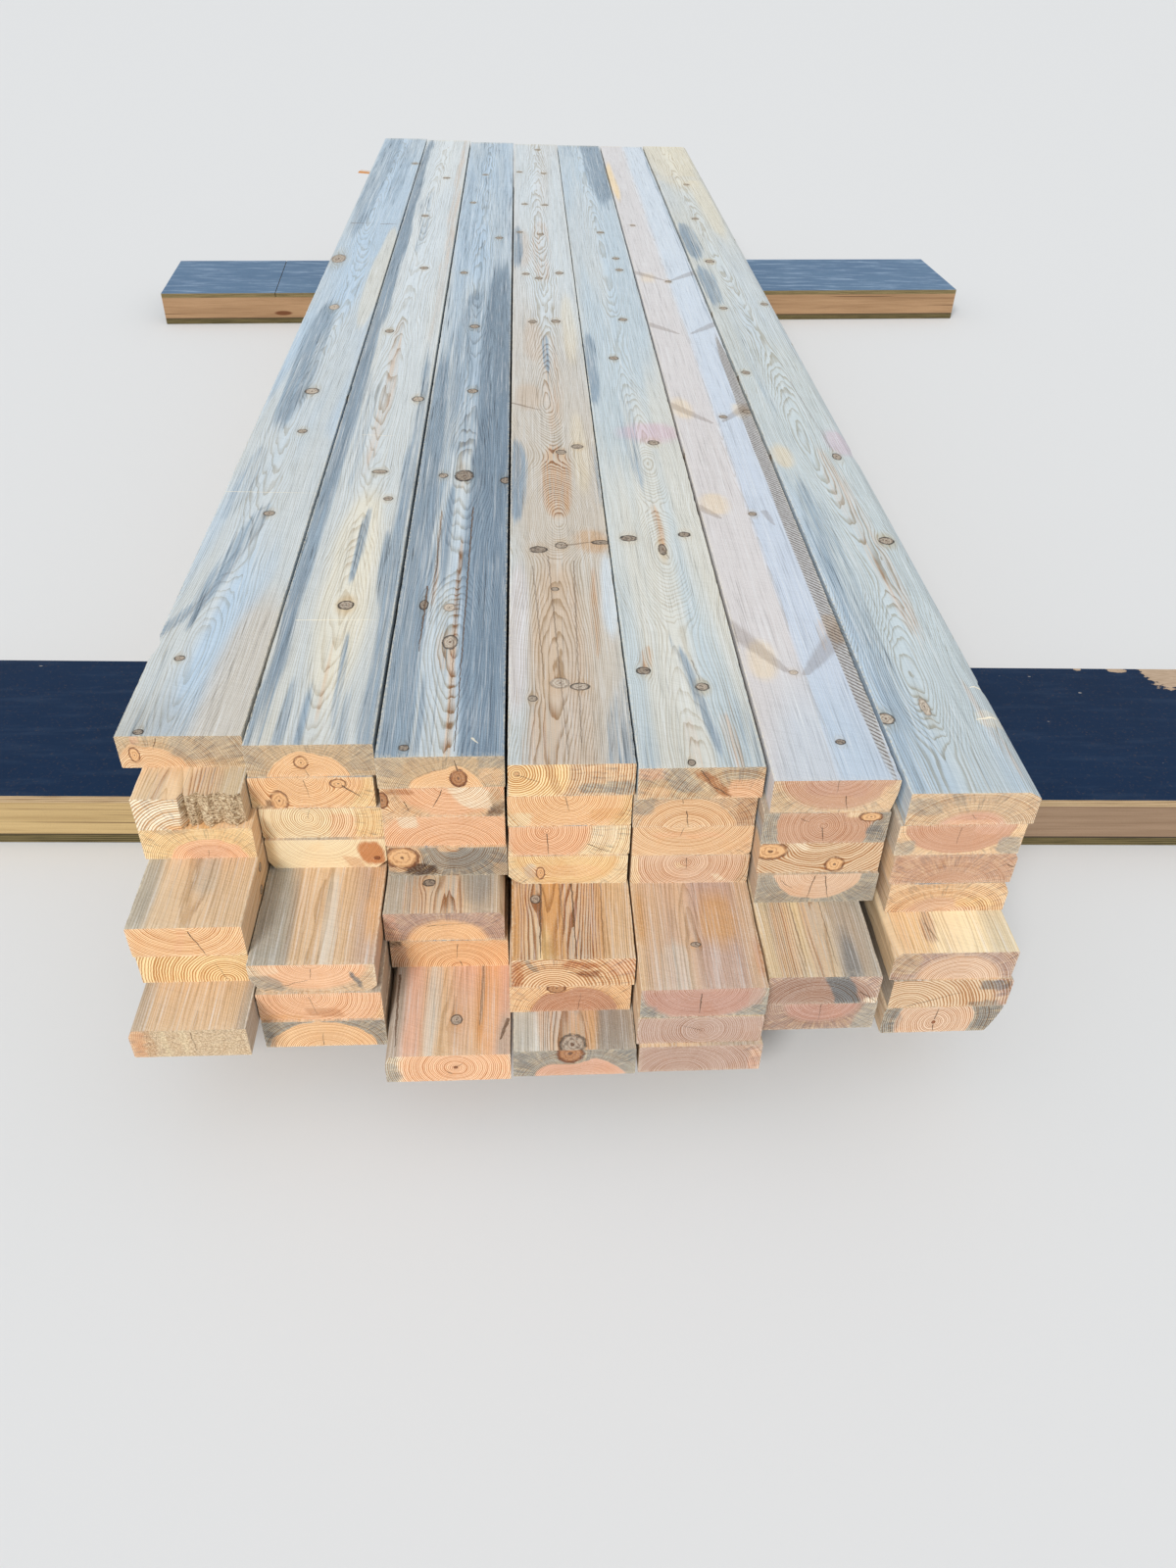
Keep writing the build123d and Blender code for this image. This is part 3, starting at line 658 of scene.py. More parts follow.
        ("sawn_grey", "fawn"),
        ((0, 104, 60),),
        ((72, 3, 10, 8, "dead"),),
        (("ash", 20, 100, 20, -160, 50, 0.6), ("brown", 110, 60, 110, -140, 50, 0.9),
         ("slate", 150, 60, 150, -60, 50, 0.4), ("brown", 60, 60, 60, -120, 60, 0.8)), (),
    ),
    (3, 7): (
        ("rose", "sawn"),
        ((-300, 112, 50), (300, 112, 60)),
        ((112, -188, 9, 10, "rosy"),),
        (("ash", 4, 100, 10, -400, 36, 0.8), ("rust", 154, 0, 150, -260, 12, 1.0),
         ("brown", 152, 20, 150, -240, 8, 1.1), ("amber", 160, 60, 160, -340, 40, 0.5),
         ("pale", 70, 60, 70, -340, 30, 0.6), ("ash", 194, -160, 186, -300, 24, 0.6)),
        ((154, -60, 150, -200, 3, "brown"), (12, -90, 16, -240, 3, "dark"),
         (196, -190, 184, -230, 5, "dark")),
    ),
    (4, 5): (
        ("rust", "ochre"),
        ((-200, 67, 70), (300, 70, 60)),
        ((40, -40, 8, 10, "brown"),),
        (("brown", 110, 200, 115, -300, 60, 1.2), ("brown", 30, 200, 30, -300, 40, 1.0),
         ("yellow", 30, -60, 60, -260, 44, 0.8), ("fawn", 180, 200, 180, -340, 60, 0.7)),
        ((100, 40, 104, -170, 2.4, "dark"), (150, 40, 148, -170, 2.0, "brown"),
         (50, 40, 46, -170, 3.0, "dark"), (78, 40, 86, -120, 2.6, "brown")),
    ),
    (4, 7): (
        ("sawn_grey", "straw"),
        ((-300, 93, 50), (300, 93, 60)),
        ((96, -243, 20, 20, "rosy"),),
        (("slate", 160, 100, 160, -400, 60, 0.4), ("ash", 14, 100, 14, -400, 40, 0.6),
         ("brown", 60, 60, 70, -380, 60, 0.9), ("brown", 93, -150, 93, -330, 60, 1.0),
         ("amber", 126, 60, 124, -340, 26, 0.6)), (),
    ),
    (5, 5): (
        ("sawn", "dusk"),
        ((-300, 95, 50), (300, 95, 60)),
        ((95, -148, 8, 5, "brown"),),
        (("ochre", 138, -20, 138, -170, 66, 0.75), ("ochre", 12, -30, 12, -150, 18, 0.7),
         ("rust", 198, -120, 196, -230, 16, 0.5), ("pale", 60, -100, 60, -340, 60, 0.5),
         ("brown", 96, -110, 96, -180, 30, 0.7)), (),
    ),
    (6, 5): (
        ("sawn_grey", "yellow"),
        ((0, 100, 60),), (),
        (("slate", 136, -90, 128, -420, 30, 0.75), ("brown", 40, 60, 40, -340, 50, 0.8),
         ("ash", 176, 60, 180, -340, 30, 0.5), ("brown", 90, 160, 88, -340, 40, 0.7)),
        ((60, 0, 62, -200, 1.6, "brown"), (110, 0, 112, -200, 1.6, "brown")),
    ),
    (7, 5): (
        ("tan", "cream"),
        ((0, 114, 60),), (),
        (("brown", 72, -70, 62, -170, 26, 1.1), ("amber", 40, 60, 40, -260, 60, 0.5),
         ("ash", 180, 60, 180, -300, 40, 0.4)),
        ((64, -110, 76, -150, 3, "brown"),),
    ),
}

# The long faces that have nothing listed
HIDDEN_TOP = (("sawn", "sawn_grey"), (), (), (), ())

# Knot looks, as (redness of the middle, darkness of the rim, strength of the halo)
KNOT_LOOKS = {
    "brown": (0.4, 0.85, 0.55),
    "ring": (0.12, 0.9, 0.5),
    "dead": (0.65, 1.0, 0.4),
    "halo": (0.35, 1.0, 1.0),
    "pale": (0.0, 0.45, 0.4),
    "rosy": (0.3, 0.8, 0.6),
    "resin": (0.5, 0.9, 1.0),
    "olive": (0.25, 0.3, 0.6),
    "branch": (0.75, 1.0, 0.7),
    "hole": (1.0, 1.0, 0.5),
}
LINE_TONES = {"dark": -1.0, "brown": -0.55, "soft": -0.36, "grey": -0.2, "pale": 0.75, "white": 1.0}

# Streaks that the material draws out along the grain, by the channel that carries them
STAINS = {"blue": 0, "brown": 1, "pale": 2, "hatch": 3}


# Planks: their shape


def node_name(key):
    return f"plank_column{key[0]}_layer{key[1]}"


def log_centre(corner, width, across, down, radius):
    """The middle of the round that leaves a wane of these sizes on a corner of the section:
    out from the middle of the wane's chord, square to it, by the radius's share of depth."""
    to_right = -1 if corner.endswith("right") else 1
    to_top = -1 if corner.startswith("top") else 1
    chord = math.hypot(across, down)
    depth = math.sqrt(radius**2 - chord**2 / 4)
    x = (0 if to_right == 1 else width) + to_right * (across / 2 + depth * down / chord)
    z = (0 if to_top == 1 else THICKNESS) + to_top * (down / 2 + depth * across / chord)
    return x, z


def pulled_in(x, z, centre_x, centre_z, radius):
    """Points outside a circle move straight towards its middle until they lie on it."""
    away = np.hypot(x - centre_x, z - centre_z)
    share = np.minimum(1, radius / np.maximum(away, 1e-9))
    return centre_x + (x - centre_x) * share, centre_z + (z - centre_z) * share


def steps(cells, size):
    """Even steps over a size, with one narrow step at each end for the arris."""
    inner = np.linspace(0, size, cells - 1)[1:-1]
    return np.concatenate(([0, ARRIS], inner, [size - ARRIS, size]))


def outline_order():
    """Indices (i, j) of the section grid's border, once round from the bottom left, through
    the bottom, right, top and left."""
    bottom = [(i, 0) for i in range(CELLS_ACROSS)]
    right = [(CELLS_ACROSS, j) for j in range(CELLS_DOWN)]
    top = [(i, CELLS_DOWN) for i in range(CELLS_ACROSS, 0, -1)]
    left = [(0, j) for j in range(CELLS_DOWN, 0, -1)]
    return np.array(bottom + right + top + left)


def edge_wear(key, x, z, along, width):
    """How far a sawn arris is torn in, in mm: soft noise of a long and a short wave along
    the plank, which fades within a few mm of the section's four corners."""
    seed = sum(map(ord, node_name(key)))
    near = np.exp(-(np.minimum(x, width - x) + np.minimum(z, THICKNESS - z)) / 2.5)
    corner = np.sign(x - width / 2) * 3 + np.sign(z - THICKNESS / 2)
    rough = ripple(seed, along / 9, corner * 5) + 0.8 * ripple(seed + 1, along / 31, corner * 3)
    return near * np.clip(rough, 0, 3) * 0.9


def section_at(key, x, z, along, width, length):
    """Points of the sawn rectangle's outline at a distance along the plank, moved onto the
    round of the arris, then onto the tapering round of the log where there is wane, out of
    the nicks' arcs, and in by the wear of the arrises."""
    inner_x = np.clip(x, ARRIS, width - ARRIS)
    inner_z = np.clip(z, ARRIS, THICKNESS - ARRIS)
    x, z = pulled_in(x, z, inner_x, inner_z, ARRIS)
    for corner, across, down, radius, growth in WANE.get(key, ()):
        centre_x, centre_z = log_centre(corner, width, across, down, radius)
        start = radius - growth if key in SIZED_AT_FAR_END else radius
        x, z = pulled_in(x, z, centre_x, centre_z, start + growth * along / length)
    for side, distance, nick_length, depth in NICKS.get(key, ()):
        radius = (nick_length**2 / 4 + depth**2) / (2 * depth)
        reach = np.sqrt(np.maximum(radius**2 - (along - distance) ** 2, 0)) - (radius - depth)
        reach = np.maximum(reach, 0)
        x = np.maximum(x, reach) if side == "left" else np.minimum(x, width - reach)
    wear = edge_wear(key, x, z, along, width)
    x = x + np.where(x < width / 2, wear, -wear)
    z = z + np.where(z < THICKNESS / 2, wear, -wear)
    return x, z


def near_end_depth(key, x, z, width):
    """How far back the near end lies at a point: a cut a little off square, fine tearing,
    and for the broken plank the splintered line with its fibres."""
    rng = np.random.default_rng(key[0] * 10 + key[1])
    tilt = rng.uniform(-1.5, 1.5) * (x / width - 0.5) + rng.uniform(0, 2.0) * (z / THICKNESS)
    torn = 0.5 + 0.25 * ripple(key[0] + 7 * key[1], x / 6, z / 5)
    depth = np.maximum(tilt + 1.5, 0) + torn
    if key == BROKEN:
        fibres = 3.0 * ripple(5, x / 3, z / 14) + 2.0 * ripple(6, x / 1.7, z / 30)
        cut = np.interp(x / width, BREAK_SHARES, BREAK_DEPTHS)
        depth = depth + np.maximum(cut + np.where(cut > 1, fibres, 0), 0)
    return depth


def far_end_depth(key, x, z):
    """How far in the far end lies at a point: deepest at the bottom, with fine tearing."""
    torn = 0.6 * ripple(key[0] * 5 + key[1], x / 9, z / 6)
    return 1.0 + torn + 1.5 * (1 - z / THICKNESS)


def stations(key, length):
    """Where the grid's sections lie: closest at the near end of the planks whose tops are
    seen, wider further on."""
    if key[1] == 1:
        near = np.arange(0, 1200, 14.0)
        middle = np.arange(1200, 2400, 24.0)
        return np.concatenate((near, middle, np.arange(2400, length, 48.0), [length]))
    near = (0, 20, 60, 130)
    if key in TOPS:
        near = (0, 18, 36, 54, 72, 90, 120, 150, 190, 230, 270)
    return np.concatenate((near, np.linspace(400, length - 60, 7), [length - 20, length]))


def body_points(key, rim_x, rim_z, width, length):
    """The outline at every station. The first and last ones lie back by the ends' depths,
    and that fades out along the plank."""
    along = stations(key, length)[:, None]
    x, z = section_at(key, rim_x[None, :], rim_z[None, :], along, width, length)
    from_near = near_end_depth(key, x[0], z[0], width) * np.exp(-along / END_FADE)
    from_far = far_end_depth(key, x[-1], z[-1]) * np.exp(-(length - along) / END_FADE)
    return np.stack((x, along + from_near - from_far, z), -1)


def cap_points(key, grid_x, grid_z, width, length, side):
    """One end's inner points: each lies at its share of the way from the section's middle
    to the outline point beyond it, and back by the end's depth there."""
    middle_x, middle_z = width / 2, THICKNESS / 2
    dx, dz = grid_x - middle_x, grid_z - middle_z
    share = np.maximum(np.abs(dx) / middle_x, np.abs(dz) / middle_z)
    safe = np.maximum(share, 1e-6)
    along = 0.0 if side == NEAR_END else length
    out_x, out_z = section_at(key, middle_x + dx / safe, middle_z + dz / safe, along, width, length)
    x = middle_x + (out_x - middle_x) * share
    z = middle_z + (out_z - middle_z) * share
    y = near_end_depth(key, x, z, width) if side == NEAR_END else length - far_end_depth(key, x, z)
    return np.stack((x, y, z), -1)[1:-1, 1:-1].reshape(-1, 3)


def skin_faces(order, rows):
    """A plank's faces and their sides: bands from each outline to the next one, and over
    each end a grid whose border is the first or the last outline."""
    across, down = CELLS_ACROSS, CELLS_DOWN
    count = len(order)
    around = np.arange(count)
    first = np.arange(rows - 1)[:, None] * count
    here = (first + around).ravel()
    turned = (first + np.roll(around, -1)).ravel()
    faces = [np.stack((here, turned, turned + count, here + count), -1)]
    band = np.repeat([UNDERSIDE, RIGHT, TOP, LEFT], [across, down, across, down])
    sides = [np.tile(band, rows - 1)]

    border = np.full((across + 1, down + 1), -1)
    border[order[:, 0], order[:, 1]] = around
    inner = np.arange((across - 1) * (down - 1)).reshape(across - 1, down - 1)
    for side, outline, offset in ((NEAR_END, 0, 0), (FAR_END, rows - 1, inner.size)):
        cells = np.where(border >= 0, border + outline * count, 0)
        cells[1:-1, 1:-1] = inner + rows * count + offset
        quads = np.stack((cells[:-1, :-1], cells[:-1, 1:], cells[1:, 1:], cells[1:, :-1]), -1)
        quads = quads.reshape(-1, 4)
        faces.append(quads if side == FAR_END else quads[:, ::-1])
        sides.append(np.full(len(quads), side))
    return np.concatenate(faces), np.concatenate(sides)


def plank_mesh(key, width, length):
    """One plank's points, faces and sides, in mm from its own lowest corner."""
    across, down = steps(CELLS_ACROSS, width), steps(CELLS_DOWN, THICKNESS)
    grid_x, grid_z = np.meshgrid(across, down, indexing="ij")
    order = outline_order()
    rim_x, rim_z = grid_x[order[:, 0], order[:, 1]], grid_z[order[:, 0], order[:, 1]]
    body = body_points(key, rim_x, rim_z, width, length)
    caps = [cap_points(key, grid_x, grid_z, width, length, side) for side in (NEAR_END, FAR_END)]
    points = np.concatenate((body.reshape(-1, 3), *caps))
    faces, sides = skin_faces(order, len(body))
    return points, faces, sides


# Planks: what their skin carries


def blob(a, b, half_a, half_b):
    """1 inside a patch shaped between an oval and a box, falling to 0 at its border."""
    return smooth(1.08, 0.88, ((a / half_a) ** 4 + (b / half_b) ** 4) ** 0.25)


def streak(x, setback, u0, s0, u1, s1, width):
    """How much of a point lies in a streak: its middle runs straight from (u0, s0) to
    (u1, s1), its edges are soft over 3 mm and about a sixth of its width, and its two ends
    are drawn out to points."""
    t = (setback - s0) / (s1 - s0)
    drawn = smooth(0.0, 0.4, t) * smooth(1.0, 0.6, t)
    half = 0.5 * width * drawn**0.5
    soft = 3.0 + 0.16 * width
    return smooth(half + soft, half - soft, np.abs(x - u0 - (u1 - u0) * t)) * np.minimum(drawn * 2.5, 1)


def end_colours(key, x, z):
    """The heart and sapwood colours of an end face under its patches, whose borders wander."""
    heart, _, _, patches = ENDS[key]
    down = THICKNESS - z
    wood = np.tile(PAINT[heart[4]], (len(x), 1))
    sap = np.tile(PAINT[heart[5]], (len(x), 1))
    seed = key[0] * 100 + key[1]
    wander_x = 3.0 * ripple(seed, x / 12, z / 9) + 1.6 * ripple(seed + 7, x / 4.5, z / 4)
    wander_z = 2.2 * ripple(seed + 1, x / 11, z / 8) + 1.2 * ripple(seed + 8, x / 4, z / 4)
    for u, v, half_u, half_v, colour, strength, *lean in patches:
        slant = lean[0] * (down - v) if lean else 0.0
        share = blob(x - u - slant + wander_x, down - v + wander_z, half_u, half_v) * strength
        wood = blended(wood, PAINT[colour], share)
        sap = blended(sap, PAINT[colour], share)
    return wood, sap


def face_colours(key, x, z, setback):
    """The wood's colour on the long faces: its two tones in soft clouds, in the top layer a
    painted sky sheen that pales it towards the far end and painted shade a tenth darker at
    the near end, and the streaks. The stains among those are kept apart as marks, which the
    material draws out along the grain."""
    (first, second), _, _, streaks, _ = TOPS.get(key, HIDDEN_TOP)
    seed = key[0] * 100 + key[1]
    clouds = ripple(seed + 2, x / 45, setback / 600) + 0.4 * ripple(seed + 6, x / 14, setback / 300)
    tone = smooth(98, 110, x) if key == SPLIT_TONE else smooth(-0.5, 0.7, clouds)
    face = blended(PAINT[first], PAINT[second], tone)
    if key[1] == 1:
        # Painted sky sheen paling the top layer towards its far end, and painted shade darkening its near
        # end by a tenth
        face = blended(face, PAINT[FAR_SHEEN_COLOURS[key[0]]], 0.6 * smooth(300, 3600, setback))
        face = face * (1 - 0.10 * smooth(420, -60, setback)[:, None])

    marks = np.zeros((len(x), 4))
    drift = 4.5 * ripple(seed + 3, setback / 240) + 2.5 * ripple(seed + 4, setback / 75, x / 70)
    for kind, u0, s0, u1, s1, width, strength in streaks:
        across = x if kind == "hatch" else x + drift
        share = streak(across, setback, u0, s0, u1, s1, width) * strength
        if kind in STAINS:
            marks[:, STAINS[kind]] = np.maximum(marks[:, STAINS[kind]], share)
        else:
            face = blended(face, PAINT[kind], share)
    if key not in TOPS:
        marks[:, 0] = 0.8 * smooth(0.1, 1, ripple(seed + 5, setback / 700, z / 30, x / 50))
        marks[:, 1] = 0.6 * smooth(0.1, 1, ripple(seed + 9, setback / 600, z / 26, x / 40))
    return face, marks


def skin_colours(key, x, z, setback, on_end):
    """The heart colour, sapwood colour and marks at every point. On a rotten near end the
    second mark is how far the wood is rotten or torn."""
    wood, sap = end_colours(key, x, z)
    face, marks = face_colours(key, x, z, setback)
    wood[~on_end] = face[~on_end]
    sap[~on_end] = face[~on_end]
    marks[on_end] = 0
    if key in ROTTEN:
        low, high, strength = ROTTEN[key]
        edge = x + 5.0 * ripple(key[0] + key[1], z / 7) + 3.0 * ripple(key[1], z / 2.5)
        rot = smooth(low - 2, low + 2, edge) * smooth(high + 2, high - 2, edge) * strength
        marks[on_end, 1] = rot[on_end]
    return wood, sap, marks


def pith_line(key, setback):
    """Where the pith lies along the plank, across and down: smoothly between the placed
    points, or wandering a little about the near end's own pith."""
    if key in TOPS:
        distance, across, down = np.array(TOPS[key][1], float).T
        number = np.arange(len(distance))
        step = np.interp(setback, distance, number)
        eased = np.floor(step) + smooth(0, 1, step - np.floor(step))
        return np.interp(eased, number, across), np.interp(eased, number, down)
    u, v = ENDS[key][0][:2]
    seed = key[0] * 31 + key[1]
    return u + 12 * ripple(seed, setback / 420), v + 10 * ripple(seed + 1, setback / 380)


def scattered_knots(key, width, length):
    """Seeded knots for the faces that have none listed, in whorls about half a metre
    apart."""
    rng = np.random.default_rng(key[0] * 97 + key[1])
    found = []
    for side in (LEFT, RIGHT, UNDERSIDE, TOP):
        if side == TOP and key in TOPS:
            continue
        for start in np.arange(rng.uniform(100, 600), length, WHORL_PITCH):
            for _ in range(rng.integers(1, 3)):
                size = rng.uniform(6, 13)
                y = start + rng.uniform(-40, 40)
                share = rng.uniform(0.15, 0.85)
                look = "brown" if rng.random() < 0.7 else "dead"
                at = (share * width, y, 0 if side == UNDERSIDE else THICKNESS)
                sizes = (size, size * 1.1, FAR)
                if side in (LEFT, RIGHT):
                    at = (0 if side == LEFT else width, y, share * THICKNESS)
                    sizes = (FAR, size * 1.15, size)
                found.append((side, at, sizes, look))
    return found


def knots_of(key, stand_out, width, length):
    """All knots of a plank, as (side, middle, half sizes, look), in mm from its corner."""
    found = []
    for u, v, half_u, half_v, look in ENDS[key][1]:
        found.append((NEAR_END, (u, 0, THICKNESS - v), (half_u, FAR, half_v), look))
    for u, setback, half_u, half_s, look in TOPS.get(key, HIDDEN_TOP)[2]:
        found.append((TOP, (u, setback + stand_out, THICKNESS), (half_u, half_s, FAR), look))
    return found + scattered_knots(key, width, length)


def lines_of(key, stand_out):
    """All checks and scratches, as (side, start, stop, width, tone), in mm from its corner."""
    found = []
    for u0, v0, u1, v1, width in ENDS[key][2]:
        found.append((NEAR_END, (u0, 0, THICKNESS - v0), (u1, 0, THICKNESS - v1), width, "dark"))
    for u0, s0, u1, s1, width, tone in TOPS.get(key, HIDDEN_TOP)[4]:
        start = (u0, s0 + stand_out, THICKNESS)
        stop = (u1, s1 + stand_out, THICKNESS)
        found.append((TOP, start, stop, width, tone))
    return found


def nearest(marks, sides, otherwise):
    """For every face, the values of the mark on its side that is nearest to it. A mark is
    its side, its distance from every face, and its values."""
    values = [np.tile(np.array(value, float), (len(sides), 1)) for value in otherwise]
    best = np.full(len(sides), 1e9)
    for side, distance, own_values in marks:
        away = np.where(sides == side, distance, 1e9)
        nearer = away < best
        best = np.where(nearer, away, best)
        for array, value in zip(values, own_values):
            array[nearer] = value
    return values


def nearest_knot(knots, centres, sides):
    """For every face, the middle, half sizes, look and reach of the knot that is nearest in
    half sizes. The reach is how many half sizes its swirl may take up: three, or half the
    way to the next knot on its side."""
    marks = []
    for number, (side, at, size, look) in enumerate(knots):
        swirl = np.array(size) * SWIRL
        others = [k[1] for i, k in enumerate(knots) if i != number and k[0] == side]
        gaps = [np.linalg.norm((np.array(at) - other) / swirl) for other in others]
        reach = min([3.0] + [0.5 * gap for gap in gaps])
        distance = np.linalg.norm((centres - at) / swirl, axis=1)
        marks.append((side, distance, (at, size, KNOT_LOOKS[look], reach)))
    return nearest(marks, sides, ((FAR,) * 3, (1.0,) * 3, (0.0,) * 3, (0.0,)))


def nearest_line(lines, centres, sides, heart_edge):
    """For every face, the start, stop and look of the line that passes nearest. The look is
    its half width in m and its tone, with the softness of the heart's edge beside them."""
    marks = []
    for side, start, stop, width, tone in lines:
        start, stop = np.array(start, float), np.array(stop, float)
        run = stop - start
        t = np.clip(((centres - start) @ run) / (run @ run), 0, 1)
        flat = centres - start - t[:, None] * run
        flat[:, 1 if side == NEAR_END else 2] = 0
        look = (width / 2 * MM, LINE_TONES[tone], heart_edge)
        marks.append((side, np.linalg.norm(flat, axis=1), (start, stop, look)))
    return nearest(marks, sides, ((FAR,) * 3, (FAR + 1,) * 3, (0.0, 0.0, heart_edge)))


# The UV map OFBake of a plank, as shares of its square: how many strips the long faces are
# cut into, the near end's height and right edge, the far end's height as a share of the
# near one's, and the height that the top face takes
TOP_LAYER_MAP = (4, 0.2, 0.6, 0.6, 0.60)
LOWER_LAYER_MAP = (3, 0.28, 0.86, 0.5, 0.34)
BORDER = 0.01
GAP = 0.015

# How much of its strip a face fills, on top and elsewhere, and the spare share at each end
TOP_FILL = 0.94
REST_FILL = 0.86
SPARE = 0.02


def bake_map(points, faces, sides, width, length, in_top_layer):
    """The near end at the bottom left with the far end beside it, above them the top face
    in strips, and above those the strips of the underside and of the two edges."""
    strips, end_high, end_wide, far_share, tops_high = TOP_LAYER_MAP if in_top_layer else LOWER_LAYER_MAP
    corners = points[faces]
    x, y, z = corners[..., 0] / width, corners[..., 1] / length, corners[..., 2] / THICKNESS
    uv = np.zeros(faces.shape + (2,))

    near_end = (NEAR_END, BORDER, end_wide, end_high)
    far_end = (FAR_END, end_wide + GAP, 1 - BORDER, end_high * far_share)
    for side, left, right, high in (near_end, far_end):
        on = sides == side
        uv[on, :, 0] = left + (right - left) * x[on]
        uv[on, :, 1] = BORDER + (high - BORDER) * z[on]

    edges = np.linspace(0, 1, strips + 1)
    strip = np.clip(np.searchsorted(edges, y.mean(axis=1)) - 1, 0, strips - 1)
    inside = np.clip((y - edges[strip][:, None]) * strips, -SPARE, 1 + SPARE)
    tops_low = end_high + GAP
    rest_low = tops_low + tops_high
    top_pitch = tops_high / strips
    rest_pitch = (1 - GAP - rest_low) / (3 * strips)
    for side, share, lane in ((TOP, x, 0), (UNDERSIDE, x, 0), (LEFT, z, 1), (RIGHT, z, 2)):
        on = sides == side
        low, high = rest_low + (lane * strips + strip) * rest_pitch, rest_pitch * REST_FILL
        if side == TOP:
            low, high = tops_low + strip * top_pitch, top_pitch * TOP_FILL
        uv[on, :, 0] = SPARE + (1 - 2 * SPARE) * inside[on]
        uv[on, :, 1] = low[on, None] + high * share[on]
    return uv.reshape(-1, 2)


def put(mesh, name, kind, domain, values):
    """Writes one attribute from an array."""
    field = {"FLOAT": "value", "FLOAT_VECTOR": "vector", "FLOAT_COLOR": "color"}[kind]
    attribute = mesh.attributes.new(name, kind, domain)
    attribute.data.foreach_set(field, np.ascontiguousarray(values, np.float32).ravel())


def new_object(name, data):
    """An object in the scene, at the origin."""
    made = bpy.data.objects.new(name, data)
    bpy.context.scene.collection.objects.link(made)
    return made


def put_corner_fields(mesh, key, points, faces, sides, low, width, length):
    """What changes from point to point: the colours and marks, the pith's place with the
    heart's radius, and the nearness of an arris, which is 1 on it and fades in 2 mm."""
    x, y, z = points[faces].reshape(-1, 3).T
    setback = y - (END_LINE - low[1])
    on_end = np.repeat((sides == NEAR_END) | (sides == FAR_END), 4)
    wood, sap, marks = skin_colours(key, x, z, setback, on_end)
    opaque = np.ones((len(x), 1))
    put(mesh, "wood", "FLOAT_COLOR", "CORNER", np.hstack((wood, opaque)))
    put(mesh, "sap", "FLOAT_COLOR", "CORNER", np.hstack((sap, opaque)))
    put(mesh, "stain", "FLOAT_COLOR", "CORNER", marks)

    pith_across, pith_down, heart = ENDS[key][0][:3]
    across, down = pith_line(key, setback)
    across = np.where(on_end, pith_across, across)
    down = np.where(on_end, pith_down, down)
    heart = np.where(on_end, heart, FAR)
    form = np.stack((low[0] + across, low[2] + THICKNESS - down, heart), -1) * MM
    put(mesh, "form", "FLOAT_VECTOR", "CORNER", form)
    to_faces = (np.minimum(x, width - x), np.minimum(z, THICKNESS - z), np.minimum(y, length - y))
    to_arris = np.sort(np.stack(to_faces), axis=0)[1]
    put(mesh, "arris", "FLOAT", "CORNER", np.exp(-to_arris / 2.2))


def put_face_fields(mesh, key, points, faces, sides, low, width, length):
    """What belongs to a whole face: its rings, its nearest knot and its nearest line."""
    centres = points[faces].mean(axis=1)
    stand_out = END_LINE - low[1]
    flatness, _, _, ring_pitch, ring_strength = ENDS[key][0][3:]
    on_end = (sides == NEAR_END) | (sides == FAR_END)
    pitch = np.where(on_end, ring_pitch, CLOSE_RINGS.get(key, RING_PITCH)) * MM
    strength = np.where(on_end, ring_strength, TOP_RINGS.get(key, RING_STRENGTH))
    put(mesh, "grain", "FLOAT_VECTOR", "FACE", np.stack((pitch, strength, on_end * flatness), -1))

    knots = knots_of(key, stand_out, width, length)
    at, size, look, reach = nearest_knot(knots, centres, sides)
    put(mesh, "knot_at", "FLOAT_VECTOR", "FACE", (at + low) * MM)
    put(mesh, "knot_size", "FLOAT_VECTOR", "FACE", size * MM)
    put(mesh, "knot_look", "FLOAT_VECTOR", "FACE", look)
    put(mesh, "knot_reach", "FLOAT", "FACE", reach)

    heart_edge = (CRISP_EDGE if key in CRISP_HEARTS else SOFT_EDGE) * MM
    start, stop, look = nearest_line(lines_of(key, stand_out), centres, sides, heart_edge)
    put(mesh, "line_start", "FLOAT_VECTOR", "FACE", (start + low) * MM)
    put(mesh, "line_stop", "FLOAT_VECTOR", "FACE", (stop + low) * MM)
    put(mesh, "line_look", "FLOAT_VECTOR", "FACE", look)


def make_plank(key, material):
    """One finished plank: its mesh, the fields its material reads, and its place in the frame."""
    name = node_name(key)
    low, high = (np.array(corner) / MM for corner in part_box(name))
    width, length = high[0] - low[0], high[1] - low[1]
    points, faces, sides = plank_mesh(key, width, length)
    mesh = bpy.data.meshes.new(f"{name}_sawn")
    mesh.from_pydata((points * MM + low * MM).tolist(), [], faces.tolist())
    put_corner_fields(mesh, key, points, faces, sides, low, width, length)
    put_face_fields(mesh, key, points, faces, sides, low, width, length)
    layer = mesh.uv_layers.new(name="OFBake")
    flat = bake_map(points, faces, sides, width, length, key[1] == 1)
    layer.uv.foreach_set("vector", flat.astype(np.float32).ravel())
    mesh.materials.append(material)
    mesh.validate()
    mesh.update()
    piece = new_object(f"{name}_sawn", mesh)
    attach(piece, "root")
    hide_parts(name)


# Materials


